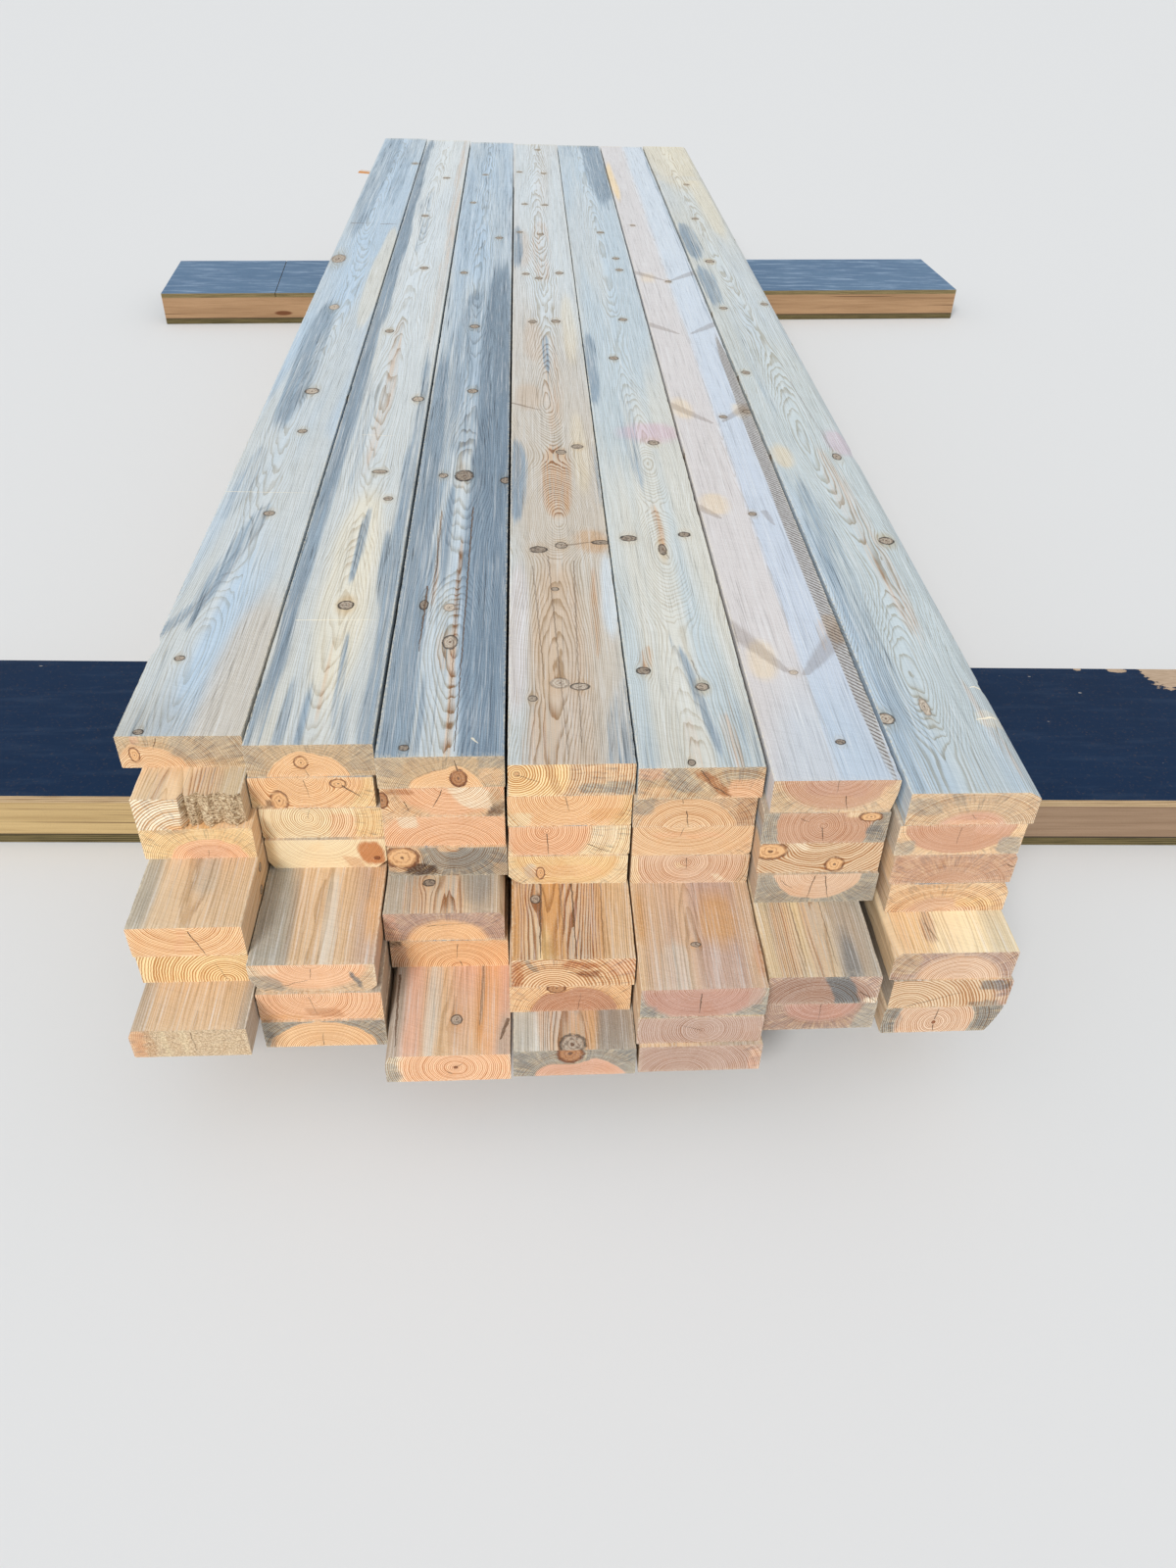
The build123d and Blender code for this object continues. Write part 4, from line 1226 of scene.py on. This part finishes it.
class Wire:
    """A number or vector socket. Arithmetic on wires adds Math nodes."""

    def __init__(self, look, socket):
        self.look = look
        self.socket = socket

    def maths(self, operation, *others):
        return self.look.maths(operation, self, *others)

    def maths_after(self, operation, other):
        return self.look.maths(operation, other, self)

    def clipped(self):
        return self.maths("MAXIMUM", 0.0).maths("MINIMUM", 1.0)

    __add__ = partialmethod(maths, "ADD")
    __radd__ = partialmethod(maths, "ADD")
    __sub__ = partialmethod(maths, "SUBTRACT")
    __rsub__ = partialmethod(maths_after, "SUBTRACT")
    __mul__ = partialmethod(maths, "MULTIPLY")
    __rmul__ = partialmethod(maths, "MULTIPLY")
    __truediv__ = partialmethod(maths, "DIVIDE")
    __rtruediv__ = partialmethod(maths_after, "DIVIDE")
    __pow__ = partialmethod(maths, "POWER")
    __rpow__ = partialmethod(maths_after, "POWER")


class Look:
    """One material under construction."""

    def __init__(self, name):
        self.material = bpy.data.materials.new(name)
        self.material.use_nodes = True
        self.tree = self.material.node_tree
        self.shader = self.tree.nodes["Principled BSDF"]

    def add(self, kind, settings=None, inputs=None, output=0):
        """A node of one type: its settings first, then the values or wires of its sockets."""
        node = self.tree.nodes.new(kind)
        for name, value in (settings or {}).items():
            setattr(node, name, value)
        for name, value in (inputs or {}).items():
            self.feed(node.inputs[name], value)
        return Wire(self, node.outputs[output])

    def feed(self, socket, value):
        """Links a wire to a socket, or sets a value on it. A colour gets its full opacity."""
        if isinstance(value, Wire):
            self.tree.links.new(value.socket, socket)
        elif isinstance(value, tuple) and len(value) < len(socket.default_value):
            socket.default_value = (*value, 1.0)
        else:
            socket.default_value = value

    def finish(self, colour, roughness, height, gloss):
        """Gives the surface its colour, roughness, relief in m and specular level."""
        bump = self.add("ShaderNodeBump", None, {"Strength": 1.0, "Distance": 1.0, "Height": height})
        inputs = {"Base Color": colour, "Roughness": roughness, "Normal": bump, "Specular IOR Level": gloss}
        for name, value in inputs.items():
            self.feed(self.shader.inputs[name], value)
        return self.material

    def place(self):
        return self.add("ShaderNodeTexCoord", output="Object")

    def upward(self):
        """The upward part of the way that the surface faces."""
        return self.parts(self.add("ShaderNodeNewGeometry", output="Normal"))[2]

    def attribute(self, name, output="Vector"):
        return self.add("ShaderNodeAttribute", {"attribute_name": name}, output=output)

    def parts(self, vector):
        node = self.tree.nodes.new("ShaderNodeSeparateXYZ")
        self.feed(node.inputs[0], vector)
        return [Wire(self, output) for output in node.outputs]

    def joined(self, x, y, z):
        return self.add("ShaderNodeCombineXYZ", None, {0: x, 1: y, 2: z})

    def maths(self, operation, *values):
        return self.add("ShaderNodeMath", {"operation": operation}, dict(enumerate(values)))

    def vectors(self, operation, *values, output=0):
        settings = {"operation": operation}
        return self.add("ShaderNodeVectorMath", settings, dict(enumerate(values)), output)

    def minus(self, first, second):
        return self.vectors("SUBTRACT", first, second)

    def length(self, vector):
        return self.vectors("LENGTH", vector, output="Value")

    def dot(self, first, second):
        return self.vectors("DOT_PRODUCT", first, second, output="Value")

    def sized(self, vector, factor):
        return self.add("ShaderNodeVectorMath", {"operation": "SCALE"}, {0: vector, "Scale": factor})

    def noise(self, vector, scale, detail=2.0, rough=0.5, output="Fac"):
        """Noise at one scale, or at three where it is drawn out along the grain."""
        if isinstance(scale, tuple):
            vector, scale = self.vectors("MULTIPLY", vector, scale), 1.0
        inputs = {"Vector": vector, "Scale": scale, "Detail": detail, "Roughness": rough}
        return self.add("ShaderNodeTexNoise", None, inputs, output)

    def mix(self, share, first, second, blend="MIX"):
        """Two colours, mixed by a share. A Mix node takes them at its inputs 6 and 7."""
        settings = {"data_type": "RGBA", "blend_type": blend}
        return self.add("ShaderNodeMix", settings, {0: share, 6: first, 7: second}, 2)

    def tinted(self, colour, tint):
        return self.mix(1.0, colour, tint, "MULTIPLY")

    def between(self, value, low, high):
        """0 at low, 1 at high, smooth between, also where high is the lower."""
        if low > high:
            return 1.0 - self.between(value, high, low)
        settings = {"interpolation_type": "SMOOTHSTEP"}
        return self.add("ShaderNodeMapRange", settings, {0: value, 1: low, 2: high, 3: 0.0, 4: 1.0})


def pine_fields(look):
    """What the planks' attributes and the place give, as named wires, with the noises that
    several steps share."""
    f = SimpleNamespace(place=look.place())
    f.x, f.y, f.z = look.parts(f.place)
    f.pith_x, f.pith_z, f.heart = look.parts(look.attribute("form"))
    f.pitch, f.strength, f.flat = look.parts(look.attribute("grain"))
    f.end = look.between(f.flat, 0.2, 0.6)
    f.long_face = 1.0 - f.end
    f.half_line, f.tone, f.heart_edge = look.parts(look.attribute("line_look"))
    f.blue_share, f.brown_share, f.pale_share = look.parts(look.attribute("stain", "Color"))
    f.hatch_share = look.attribute("stain", "Alpha")
    f.broad = look.noise(f.place, (38.0, 1.1, 38.0), 3.0, 0.55) - 0.5
    f.fibres = look.noise(f.place, (120.0, 2.2, 120.0), 4.0, 0.65) - 0.5
    f.wisps = look.noise(f.place, (420.0, 7.0, 420.0), 3.0, 0.65) - 0.5
    f.hair = look.noise(f.place, (240.0, 3.4, 240.0), 2.0, 0.6) - 0.5
    f.patchy = look.noise(f.place, (14.0, 1.2, 14.0))
    f.speck = look.noise(f.place, 700.0, 2.0, 0.7)
    return f


def add_knot_distance(look, f):
    """Distance from the face's knot in its half sizes, and the place drawn in towards the
    knot's middle, less with the square of the distance, so that the grain flows round."""
    offset = look.minus(f.place, look.attribute("knot_at"))
    size = look.attribute("knot_size")
    f.rough_edge = look.noise(f.place, 130.0) - 0.5
    f.near = look.length(look.vectors("DIVIDE", offset, size)) + f.rough_edge * 0.35
    f.swirl = look.length(look.vectors("DIVIDE", offset, look.vectors("MULTIPLY", size, SWIRL)))
    fade = 1.0 - (f.swirl / (look.attribute("knot_reach", "Fac") + 0.001)).clipped()
    fade = fade * fade * (3.0 - 2.0 * fade)
    draw = fade / ((f.swirl * f.swirl * f.swirl * f.swirl + 1.0) ** 0.5)
    f.bent = look.minus(f.place, look.sized(offset, draw))


def add_rings(look, f):
    """Rings as the wavering distance from the pith, over the pitch: each darkens slowly and
    ends sharply."""
    waver = look.noise(f.place, (8.0, 0.7, 8.0)) - 0.5
    fine_waver = look.noise(f.place, (70.0, 9.0, 70.0)) - 0.5
    curl = look.noise(f.place, (24.0, 3.2, 24.0)) - 0.5
    bent_x, _, bent_z = look.parts(f.bent)
    f.dx = bent_x - f.pith_x
    f.dz = (bent_z - f.pith_z) * (f.long_face + f.flat)
    f.distance = (f.dx * f.dx + f.dz * f.dz) ** 0.5
    ring_at = f.distance + waver * (0.013 + f.long_face * 0.016) + fine_waver * 0.0030
    ring_at = ring_at + curl * f.long_face * 0.010
    pace_inputs = {"W": ring_at * 55.0 + f.pith_x * 20.0}
    pace = look.add("ShaderNodeTexNoise", {"noise_dimensions": "1D"}, pace_inputs, "Fac")
    phase = (ring_at / f.pitch + pace * 0.8).maths("FRACT")
    late = look.between(phase + f.long_face * -0.1, 0.34, 0.84) * look.between(phase, 1.0, 0.94)
    f.late = (late * f.strength * (0.35 + f.patchy * 1.25 + f.brown_share * f.long_face * 0.5)).clipped()


def bare_wood(look, f):
    """The wood's own colour. On an end it is the heart's inside one ring and the sapwood's
    outside, which is streaked from the pith outwards in grey and cream."""
    out_x = f.dx / (f.distance + 0.002)
    out_z = f.dz / (f.distance + 0.002)
    spokes = look.noise(look.joined(out_x * 26.0, f.distance * 34.0, out_z * 26.0), 1.0, 3.0, 0.65)
    blotches = look.noise(f.place, 34.0, 3.0, 0.6)
    beyond = f.distance + (blotches - 0.5) * 0.016 - f.heart
    outer = look.between(beyond / f.heart_edge, -1.0, 1.0)
    colour = look.mix(outer, look.attribute("wood", "Color"), look.attribute("sap", "Color"))
    streaked = (spokes - 0.5) * outer * f.end
    colour = look.mix((streaked * 2.3).clipped(), colour, paint("slate", 0.8))
    colour = look.mix((streaked * -1.9).clipped(), colour, paint("cream"))
    cloudy = look.noise(f.place, 22.0, 3.0, 0.6)
    ruddy = look.tinted(colour, (1.0, 0.84, 0.68))
    return look.mix(look.between(cloudy, 0.5, 0.7) * f.end * 0.28, colour, ruddy)


def stained(look, f, colour):
    """Pale, brown and blue stains of the long faces, broken into streaks along the grain."""
    blue = f.blue_share + f.broad * 0.7 + f.fibres * 1.5 + f.hair * 0.9
    brown = f.brown_share + f.broad * 0.4 + f.fibres * 0.9 - f.hair * 0.5
    pale = f.pale_share - f.broad * 0.4 - f.fibres * 0.5 + f.wisps * 0.5
    f.blue = look.between(blue, 0.26, 1.10) * f.long_face
    f.brown = look.between(brown, 0.28, 1.0) * f.long_face
    pale = look.between(pale, 0.25, 0.8) * f.long_face
    colour = look.mix(pale * 0.75, colour, paint("straw"))
    fine = look.between(f.wisps + f.hair, -0.2, 0.2)
    colour = look.mix(f.brown * 0.75, colour, look.mix(fine, paint("ochre"), paint("dry_tan")))
    shade = f.fibres * 1.2 + f.hair * 0.9 + f.wisps * 0.8 - f.blue_share * 0.3
    stain = look.mix(look.between(shade, -0.50, 0.02), paint("deep_blue"), paint("blue"))
    threads = look.between(f.wisps + f.hair * 0.7, 0.08, 0.28)
    stain = look.mix(threads * 0.9, stain, paint("deep_blue", 0.45))
    return look.mix(f.blue * 0.92, colour, stain)


def grained(look, f, colour):
    """Rings darken the wood: warm on the ends, brown or blue-grey on the long faces, with
    finer fibres between them."""
    cool = look.mix(f.blue, (0.66, 0.58, 0.47), (0.50, 0.52, 0.56))
    cool = look.mix(f.brown, cool, (0.46, 0.27, 0.14))
    warm = look.mix(f.end, cool, (0.56, 0.35, 0.21))
    colour = look.mix(f.late, colour, look.tinted(colour, warm))
    darker = look.tinted(colour, (0.44, 0.44, 0.44))
    colour = look.mix(look.between(f.wisps, 0.04, 0.24) * f.long_face * 0.6, colour, darker)
    dark_hair = look.between(f.hair, 0.05, 0.24) * f.long_face
    colour = look.mix(dark_hair * (0.35 + f.blue * 0.3 + f.brown * 0.3), colour, darker)
    pale_hair = look.between(f.hair, -0.05, -0.24) * f.long_face
    colour = look.mix(pale_hair * 0.35, colour, (0.84, 0.88, 0.90))
    pale_wisps = look.between(f.wisps, -0.05, -0.24) * f.long_face
    return look.mix(pale_wisps * 0.45, colour, (0.86, 0.89, 0.91))


def sawn(look, f, colour):
    """Irregular saw marks across the faces, the strip of bold slanting marks, and pale torn
    fibre along the arrises, whitened further as a painted highlight where they catch the light."""
    slanted = look.joined(f.x * 12.0, (f.y + f.x * 0.35 + f.z * 0.2) * 300.0, f.z * 12.0)
    f.tooth = look.between(look.noise(slanted, 1.0), 0.42, 0.66)
    colour = look.mix(f.tooth * 0.13 * f.long_face, colour, look.tinted(colour, (0.6, 0.6, 0.6)))
    wave = ((f.y + f.x * 1.1 + f.rough_edge * 0.006) * 524.0).maths("SINE")
    strip = look.between(f.hatch_share + f.fibres * 0.9 + f.hair * 0.5, 0.35, 0.8) * f.long_face
    f.stripe = look.between(wave + f.rough_edge * 1.6 + f.broad * 1.2, -0.2, 0.5) * strip
    colour = look.mix(strip * 0.55, colour, paint("dry_tan", 0.8))
    colour = look.mix(f.stripe * 0.85, colour, (0.14, 0.115, 0.10))
    # Pale torn fibre along the arrises, partly a painted highlight of the arrises catching the light
    tufts = look.between(look.noise(f.place, (330.0, 120.0, 330.0)), 0.40, 0.62)
    f.fuzz = look.attribute("arris", "Fac") * tufts
    return look.mix(f.fuzz * 0.75, colour, paint("white", 0.92))


def knotted(look, f, colour):
    """Knots: a halo drawn out along the grain, rings inside, dark mottling on the long
    faces, and a broken dark rim."""
    depth, rim, halo = look.parts(look.attribute("knot_look"))
    around = look.between(f.swirl, 1.5, 0.5) * halo * (0.5 + f.long_face * 0.5)
    colour = look.mix(around * (0.35 + f.patchy * 0.6), colour, look.tinted(colour, (0.88, 0.68, 0.44)))
    f.inside = look.between(f.near, 1.04, 0.94)
    turns = look.between((f.near * 17.0 + f.rough_edge * 5.0).maths("SINE"), 0.1, 0.9)
    end_knot = look.mix(depth, (0.90, 0.56, 0.28), (0.30, 0.10, 0.035))
    face_knot = look.mix(depth, (0.64, 0.56, 0.46), (0.19, 0.14, 0.10))
    wood = look.mix(f.long_face, end_knot, face_knot)
    wood = look.mix(turns * 0.6, wood, look.tinted(wood, (0.50, 0.34, 0.26)))
    mottle = look.between(look.noise(f.place, 170.0, 3.0, 0.6), 0.50, 0.60) * f.long_face
    wood = look.mix(mottle * (0.3 + depth * 0.6), wood, (0.035, 0.028, 0.024))
    wood = look.mix(look.between(f.near, 0.2, 0.1) * 0.8, wood, (0.10, 0.04, 0.02))
    colour = look.mix(f.inside * 0.95, colour, wood)
    broken = look.between(look.noise(f.place, 60.0), 0.30, 0.50)
    band = look.between(f.near, 0.82, 0.96) * look.between(f.near, 1.20, 1.04)
    f.rim = band * rim * (0.3 + broken * 0.7)
    return look.mix(f.rim * 0.92, colour, look.mix(f.end, (0.030, 0.024, 0.020), (0.17, 0.055, 0.02)))


def lined(look, f, colour):
    """Checks and scratches: the distance from the face's own line, whose path is a little
    ragged and which narrows along its run."""
    line_start = look.attribute("line_start")
    line = look.minus(look.attribute("line_stop"), line_start)
    stray = look.minus(look.noise(f.place, 70.0, 3.0, output="Color"), (0.5, 0.5, 0.5))
    from_start = look.vectors("ADD", look.minus(f.place, line_start), look.sized(stray, 0.006))
    flat = look.vectors("MULTIPLY", from_start, look.joined(1.0, f.long_face, f.end))
    along = (look.dot(flat, line) / look.dot(line, line)).clipped()
    away = look.length(look.minus(flat, look.sized(line, along)))
    taper = f.half_line * (1.15 - along * along * 0.8)
    mask = look.between(away / (taper + 0.00001), 1.35, 0.6) * look.between(f.half_line, 0.0, 0.0001)
    f.dark_line = mask * (f.tone * -1.0).clipped()
    colour = look.mix(f.dark_line * 0.9, colour, (0.16, 0.095, 0.055))
    return look.mix(mask * f.tone.clipped() * 0.9, colour, paint("white"))


def torn(look, f, colour):
    """Fine speckle of torn fibre everywhere, and the dark splintered wood of rotten ends."""
    nicked = look.tinted(colour, look.mix(f.end, (0.45, 0.46, 0.48), (0.52, 0.42, 0.32)))
    colour = look.mix(look.between(f.speck, 0.54, 0.72) * (0.16 + f.end * 0.10), colour, nicked)
    colour = look.mix(look.between(f.speck, 0.45, 0.28) * 0.28, colour, (0.97, 0.94, 0.90))
    slanting = look.joined((f.x + f.z * 0.4) * 300.0, f.y * 100.0, f.z * 420.0)
    f.splinters = look.noise(slanting, 1.0, 4.0, 0.75)
    rotten = look.mix(look.between(f.splinters, 0.36, 0.48), (0.13, 0.075, 0.04), (0.50, 0.33, 0.18))
    rotten = look.mix(look.between(f.splinters, 0.49, 0.57), rotten, (0.95, 0.80, 0.55))
    f.rot = f.brown_share * f.end
    return look.mix(f.rot * 0.9, colour, rotten)


def pine_look():
    """Sawn pine: bare wood, then its stains, rings, saw marks, knots, checks and torn fibre,
    one over the other, and the relief that they leave, in m."""
    look = Look("sawn_pine")
    f = pine_fields(look)
    add_knot_distance(look, f)
    add_rings(look, f)
    colour = bare_wood(look, f)
    for step in (stained, grained, sawn, knotted, lined, torn):
        colour = step(look, f, colour)
    grain = f.late * 0.00022 + f.tooth * f.long_face * 0.00012 + f.speck * 0.00030
    height = grain + f.wisps * f.long_face * 0.0005 - f.dark_line * 0.0010 + f.inside * 0.0003
    height = height - f.rim * 0.0006 - f.stripe * 0.0004 + f.fuzz * 0.0005
    height = height + f.splinters * f.rot * 0.003
    return look.finish(colour, 0.72 + f.patchy * 0.16, height, 0.25)


def rail_look():
    """Rail timber with its grain along the rail: yellowish on the left of the front bearer,
    weathered grey-brown on its right, browner on the rear one, and with a painted shadow of
    the gap along the bottom."""
    look = Look("rail_timber")
    place = look.place()
    x, y, z = look.parts(place)
    stretch = look.noise(place, (1.6, 22.0, 40.0), 3.0, 0.6)
    lines = look.noise(place, (3.0, 90.0, 230.0), 3.0, 0.6)
    sparse = look.noise(place, (0.9, 30.0, 110.0), 2.0, 0.4)
    cells = {"Vector": look.vectors("MULTIPLY", place, (2.3, 4.0, 9.0)), "Scale": 1.0}
    knots = look.add("ShaderNodeTexVoronoi", None, cells, "Distance")
    speck = look.noise(place, 500.0, 2.0, 0.7)
    front = look.mix(look.between(x, -0.5, 0.9), paint("rail_yellow"), paint("rail_weathered"))
    colour = look.mix(look.between(y, -0.2, 0.2), front, paint("rail_brown"))
    darker = look.tinted(colour, (0.55, 0.50, 0.44))
    colour = look.mix(look.between(stretch, 0.3, 0.8) * 0.6, colour, darker)
    colour = look.mix(look.between(lines, 0.5, 0.68) * 0.35, colour, darker)
    colour = look.mix(look.between(sparse, 0.62, 0.66) * 0.7, colour, paint("rail_vein"))
    colour = look.mix(look.between(knots, 0.11, 0.07), colour, paint("rail_knot"))
    colour = look.mix(look.between(speck, 0.55, 0.75) * 0.4, colour, darker)
    # Painted shadow: a near-black band along the rail's bottom edge, where the gap above the bottom sheet
    # lies in shade
    gap_shadow = look.between(z + stretch * 0.002, 0.0275, 0.0245)
    colour = look.mix(gap_shadow * 0.9, colour, (0.020, 0.017, 0.014))
    return look.finish(colour, 0.7 + stretch * 0.15, lines * 0.0005 + speck * 0.0003, 0.25)


# Tears in the front top sheet's film, as (x, y, half x, half y), in m
TEARS = (
    (1.258, -1.394, 0.024, 0.014),
    (1.385, -1.400, 0.072, 0.082),
    (1.160, -1.392, 0.010, 0.006),
)

# Sheets of film-faced plywood, as (underside and thickness in m, dark and light of the
# film, share of pale smears on it, dark and light of the cut plies, tears)
SHEETS = {
    "bottom_plywood": (0.0, 0.021, "film_night", "film_navy", 0.12, "ply_damp", "ply_dull", ()),
    "front_top_plywood": (0.111, 0.018, "film_deep", "film_blue", 0.025, "ply_tan", "ply_cream", TEARS),
    # The rear sheet's paler film colours are painted sunlight and sky reflection
    "rear_top_plywood": (0.111, 0.018, "film_sheen_dark", "film_sheen_pale", 0.6, "ply_olive", "ply_straw", ()),
}
PLIES = 7


def film_face(look, place, dark, light, smears, tears):
    """The film's colour and how far it is torn off: dark and cloudy, smeared and dusty, with
    a few chips, and with bare wood in the ragged ovals of its tears."""
    colour = look.mix(look.noise(place, 3.0, 4.0, 0.6), paint(dark), paint(light))
    smear = look.noise(place, (5.0, 34.0, 1.0), 4.0, 0.7)
    colour = look.mix(look.between(smear, 0.48, 0.68) * smears, colour, paint("film_smear"))
    chip = look.noise(place, (26.0, 70.0, 1.0), 2.0, 0.6)
    colour = look.mix(look.between(chip, 0.745, 0.775) * 0.8, colour, paint("film_chip"))
    if not tears:
        return colour, 0.0
    x, y, _ = look.parts(place)
    ragged = look.noise(place, (40.0, 70.0, 1.0), 3.0, 0.6) - 0.5
    torn_off = 0.0
    for middle_x, middle_y, half_x, half_y in tears:
        across = (x - middle_x) / half_x
        along = (y - middle_y) / half_y
        away = (across * across + along * along) ** 0.5
        torn_off = torn_off + look.between(away + ragged * 1.3, 1.02, 0.94)
    torn_off = torn_off.clipped()
    fibres = look.noise(place, (30.0, 260.0, 1.0), 3.0, 0.6)
    wood = look.mix(fibres, paint("ply_bare"), paint("ply_bare_fibre"))
    return look.mix(torn_off, colour, wood), torn_off


def plywood_look(name):
    """Film-faced plywood: film on the flat faces, and on the edges dark and light plies as
    stripes of the height, with thin lines of dark glue."""
    low, thickness, dark_film, light_film, smears, dark_ply, light_ply, tears = SHEETS[name]
    look = Look(name)
    place = look.place()
    _, _, z = look.parts(place)
    film = look.between(look.upward().maths("ABSOLUTE"), 0.4, 0.6)
    film_colour, torn_off = film_face(look, place, dark_film, light_film, smears, tears)
    level = (z - low) * (PLIES * math.pi / thickness)
    glue = look.between(level.maths("SINE").maths("ABSOLUTE"), 0.34, 0.12)
    turn = look.between((level * 0.5).maths("SINE").maths("ABSOLUTE"), 0.62, 0.78)
    grain = look.noise(place, (9.0, 9.0, 420.0), 3.0, 0.6)
    dust = look.noise(place, 160.0, 3.0, 0.7)
    veneer = look.mix(turn, paint(dark_ply), paint(light_ply))
    veneer = look.mix(look.between(grain, 0.4, 0.8), veneer, paint(dark_ply, 0.6))
    edge_colour = look.mix(glue, veneer, paint(dark_ply, 0.3))
    colour = look.mix(film, edge_colour, film_colour)
    colour = look.mix(look.between(dust, 0.56, 0.74) * 0.3, colour, edge_colour)
    height = glue * (film - 1.0) * 0.0006 - torn_off * 0.0006
    return look.finish(colour, 0.8 - film * 0.3 + torn_off * 0.3, height, 0.12)


def lath_look():
    """Split lath wood: orange on its broken faces and pinkish white above, with fibres
    along it."""
    look = Look("lath_pine")
    fibres = look.noise(look.place(), (40.0, 400.0, 400.0), 3.0, 0.6)
    colour = look.mix(look.between(look.upward(), 0.3, 0.7), paint("lath_orange"), paint("lath_top"))
    colour = look.mix(look.between(fibres, 0.5, 0.75) * 0.6, colour, paint("lath_fibre"))
    return look.finish(colour, 0.7 + fibres * 0.2, fibres * 0.0008, 0.5)


# The pieces


def dress(node, material):
    """Gives a CAD node that keeps its shape a better material."""
    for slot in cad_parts[node].material_slots:
        slot.link = "OBJECT"
        slot.material = material


pine = pine_look()
for plank_key in ENDS:
    make_plank(plank_key, pine)

rails = rail_look()
lower_film = plywood_look("bottom_plywood")
front_film = plywood_look("front_top_plywood")
rear_film = plywood_look("rear_top_plywood")
for where, film in (("front", front_film), ("rear", rear_film)):
    dress(f"{where}_bearer_bottom_sheet", lower_film)
    dress(f"{where}_bearer_front_rail", rails)
    dress(f"{where}_bearer_back_rail", rails)
    dress(f"{where}_bearer_top_sheet", film)
dress("rear_bearer_top_sheet_end_piece", rear_film)
dress("lath_end", lath_look())


# Floor, light and camera

FLOOR_REACH = 30
FLOOR_POINTS = 9
FLOOR_DROP = 0.0005
LAMP_DIRECTION = (0.32, 0.70, -0.64)

# The photograph's view: its place in m, how it is turned in degrees, and its focal length
# as a share of the frame's height
VIEW_PLACE = (-0.2055, -3.6982, 1.6758)
VIEW_PAN = 3.8709
VIEW_TILT = 39.4012
VIEW_ROLL = 1.8204
FOCAL_SHARE = 1161.85 / 1600


def make_floor():
    """A plain pale floor: a wide grid just under ground level."""
    ticks = np.linspace(-FLOOR_REACH, FLOOR_REACH, FLOOR_POINTS)
    grid_x, grid_y = np.meshgrid(ticks, ticks, indexing="ij")
    points = np.stack((grid_x, grid_y, np.full_like(grid_x, -FLOOR_DROP)), -1).reshape(-1, 3)
    index = np.arange(FLOOR_POINTS**2).reshape(FLOOR_POINTS, FLOOR_POINTS)
    faces = np.stack((index[:-1, :-1], index[1:, :-1], index[1:, 1:], index[:-1, 1:]), -1)
    mesh = bpy.data.meshes.new("floor")
    mesh.from_pydata(points.tolist(), [], faces.reshape(-1, 4).tolist())
    look = Look("pale_floor")
    look.feed(look.shader.inputs["Base Color"], (0.74, 0.75, 0.76))
    look.feed(look.shader.inputs["Roughness"], 0.9)
    mesh.materials.append(look.material)
    new_object("floor", mesh)


def make_light():
    """A white sky all round and one soft lamp from the front left."""
    world = bpy.data.worlds.new("studio")
    world.use_nodes = True
    background = world.node_tree.nodes["Background"]
    background.inputs["Color"].default_value = (0.965, 0.985, 1.0, 1.0)
    background.inputs["Strength"].default_value = 0.62
    bpy.context.scene.world = world
    lamp = bpy.data.lights.new("soft_lamp", "SUN")
    lamp.energy = 2.1
    lamp.angle = math.radians(18)
    lamp.color = (1.0, 0.985, 0.965)
    holder = new_object("soft_lamp", lamp)
    holder.rotation_mode = "QUATERNION"
    holder.rotation_quaternion = Vector(LAMP_DIRECTION).to_track_quat("-Z", "Y")


def make_camera():
    """The photograph's view: level along the planks, then rolled, tilted down and panned."""
    camera = bpy.data.cameras.new("camera")
    camera.sensor_width = 36.0
    camera.lens = camera.sensor_width * FOCAL_SHARE
    camera.clip_start = 0.05
    camera.clip_end = 200.0
    pan = Matrix.Rotation(-math.radians(VIEW_PAN), 3, "Z")
    tilt = Matrix.Rotation(math.radians(90 - VIEW_TILT), 3, "X")
    roll = Matrix.Rotation(math.radians(VIEW_ROLL), 3, "Z")
    holder = new_object("camera", camera)
    holder.rotation_mode = "QUATERNION"
    holder.rotation_quaternion = (pan @ tilt @ roll).to_quaternion()
    holder.location = VIEW_PLACE
    bpy.context.scene.camera = holder


make_floor()
make_light()
make_camera()
bpy.context.scene.view_settings.view_transform = "Standard"
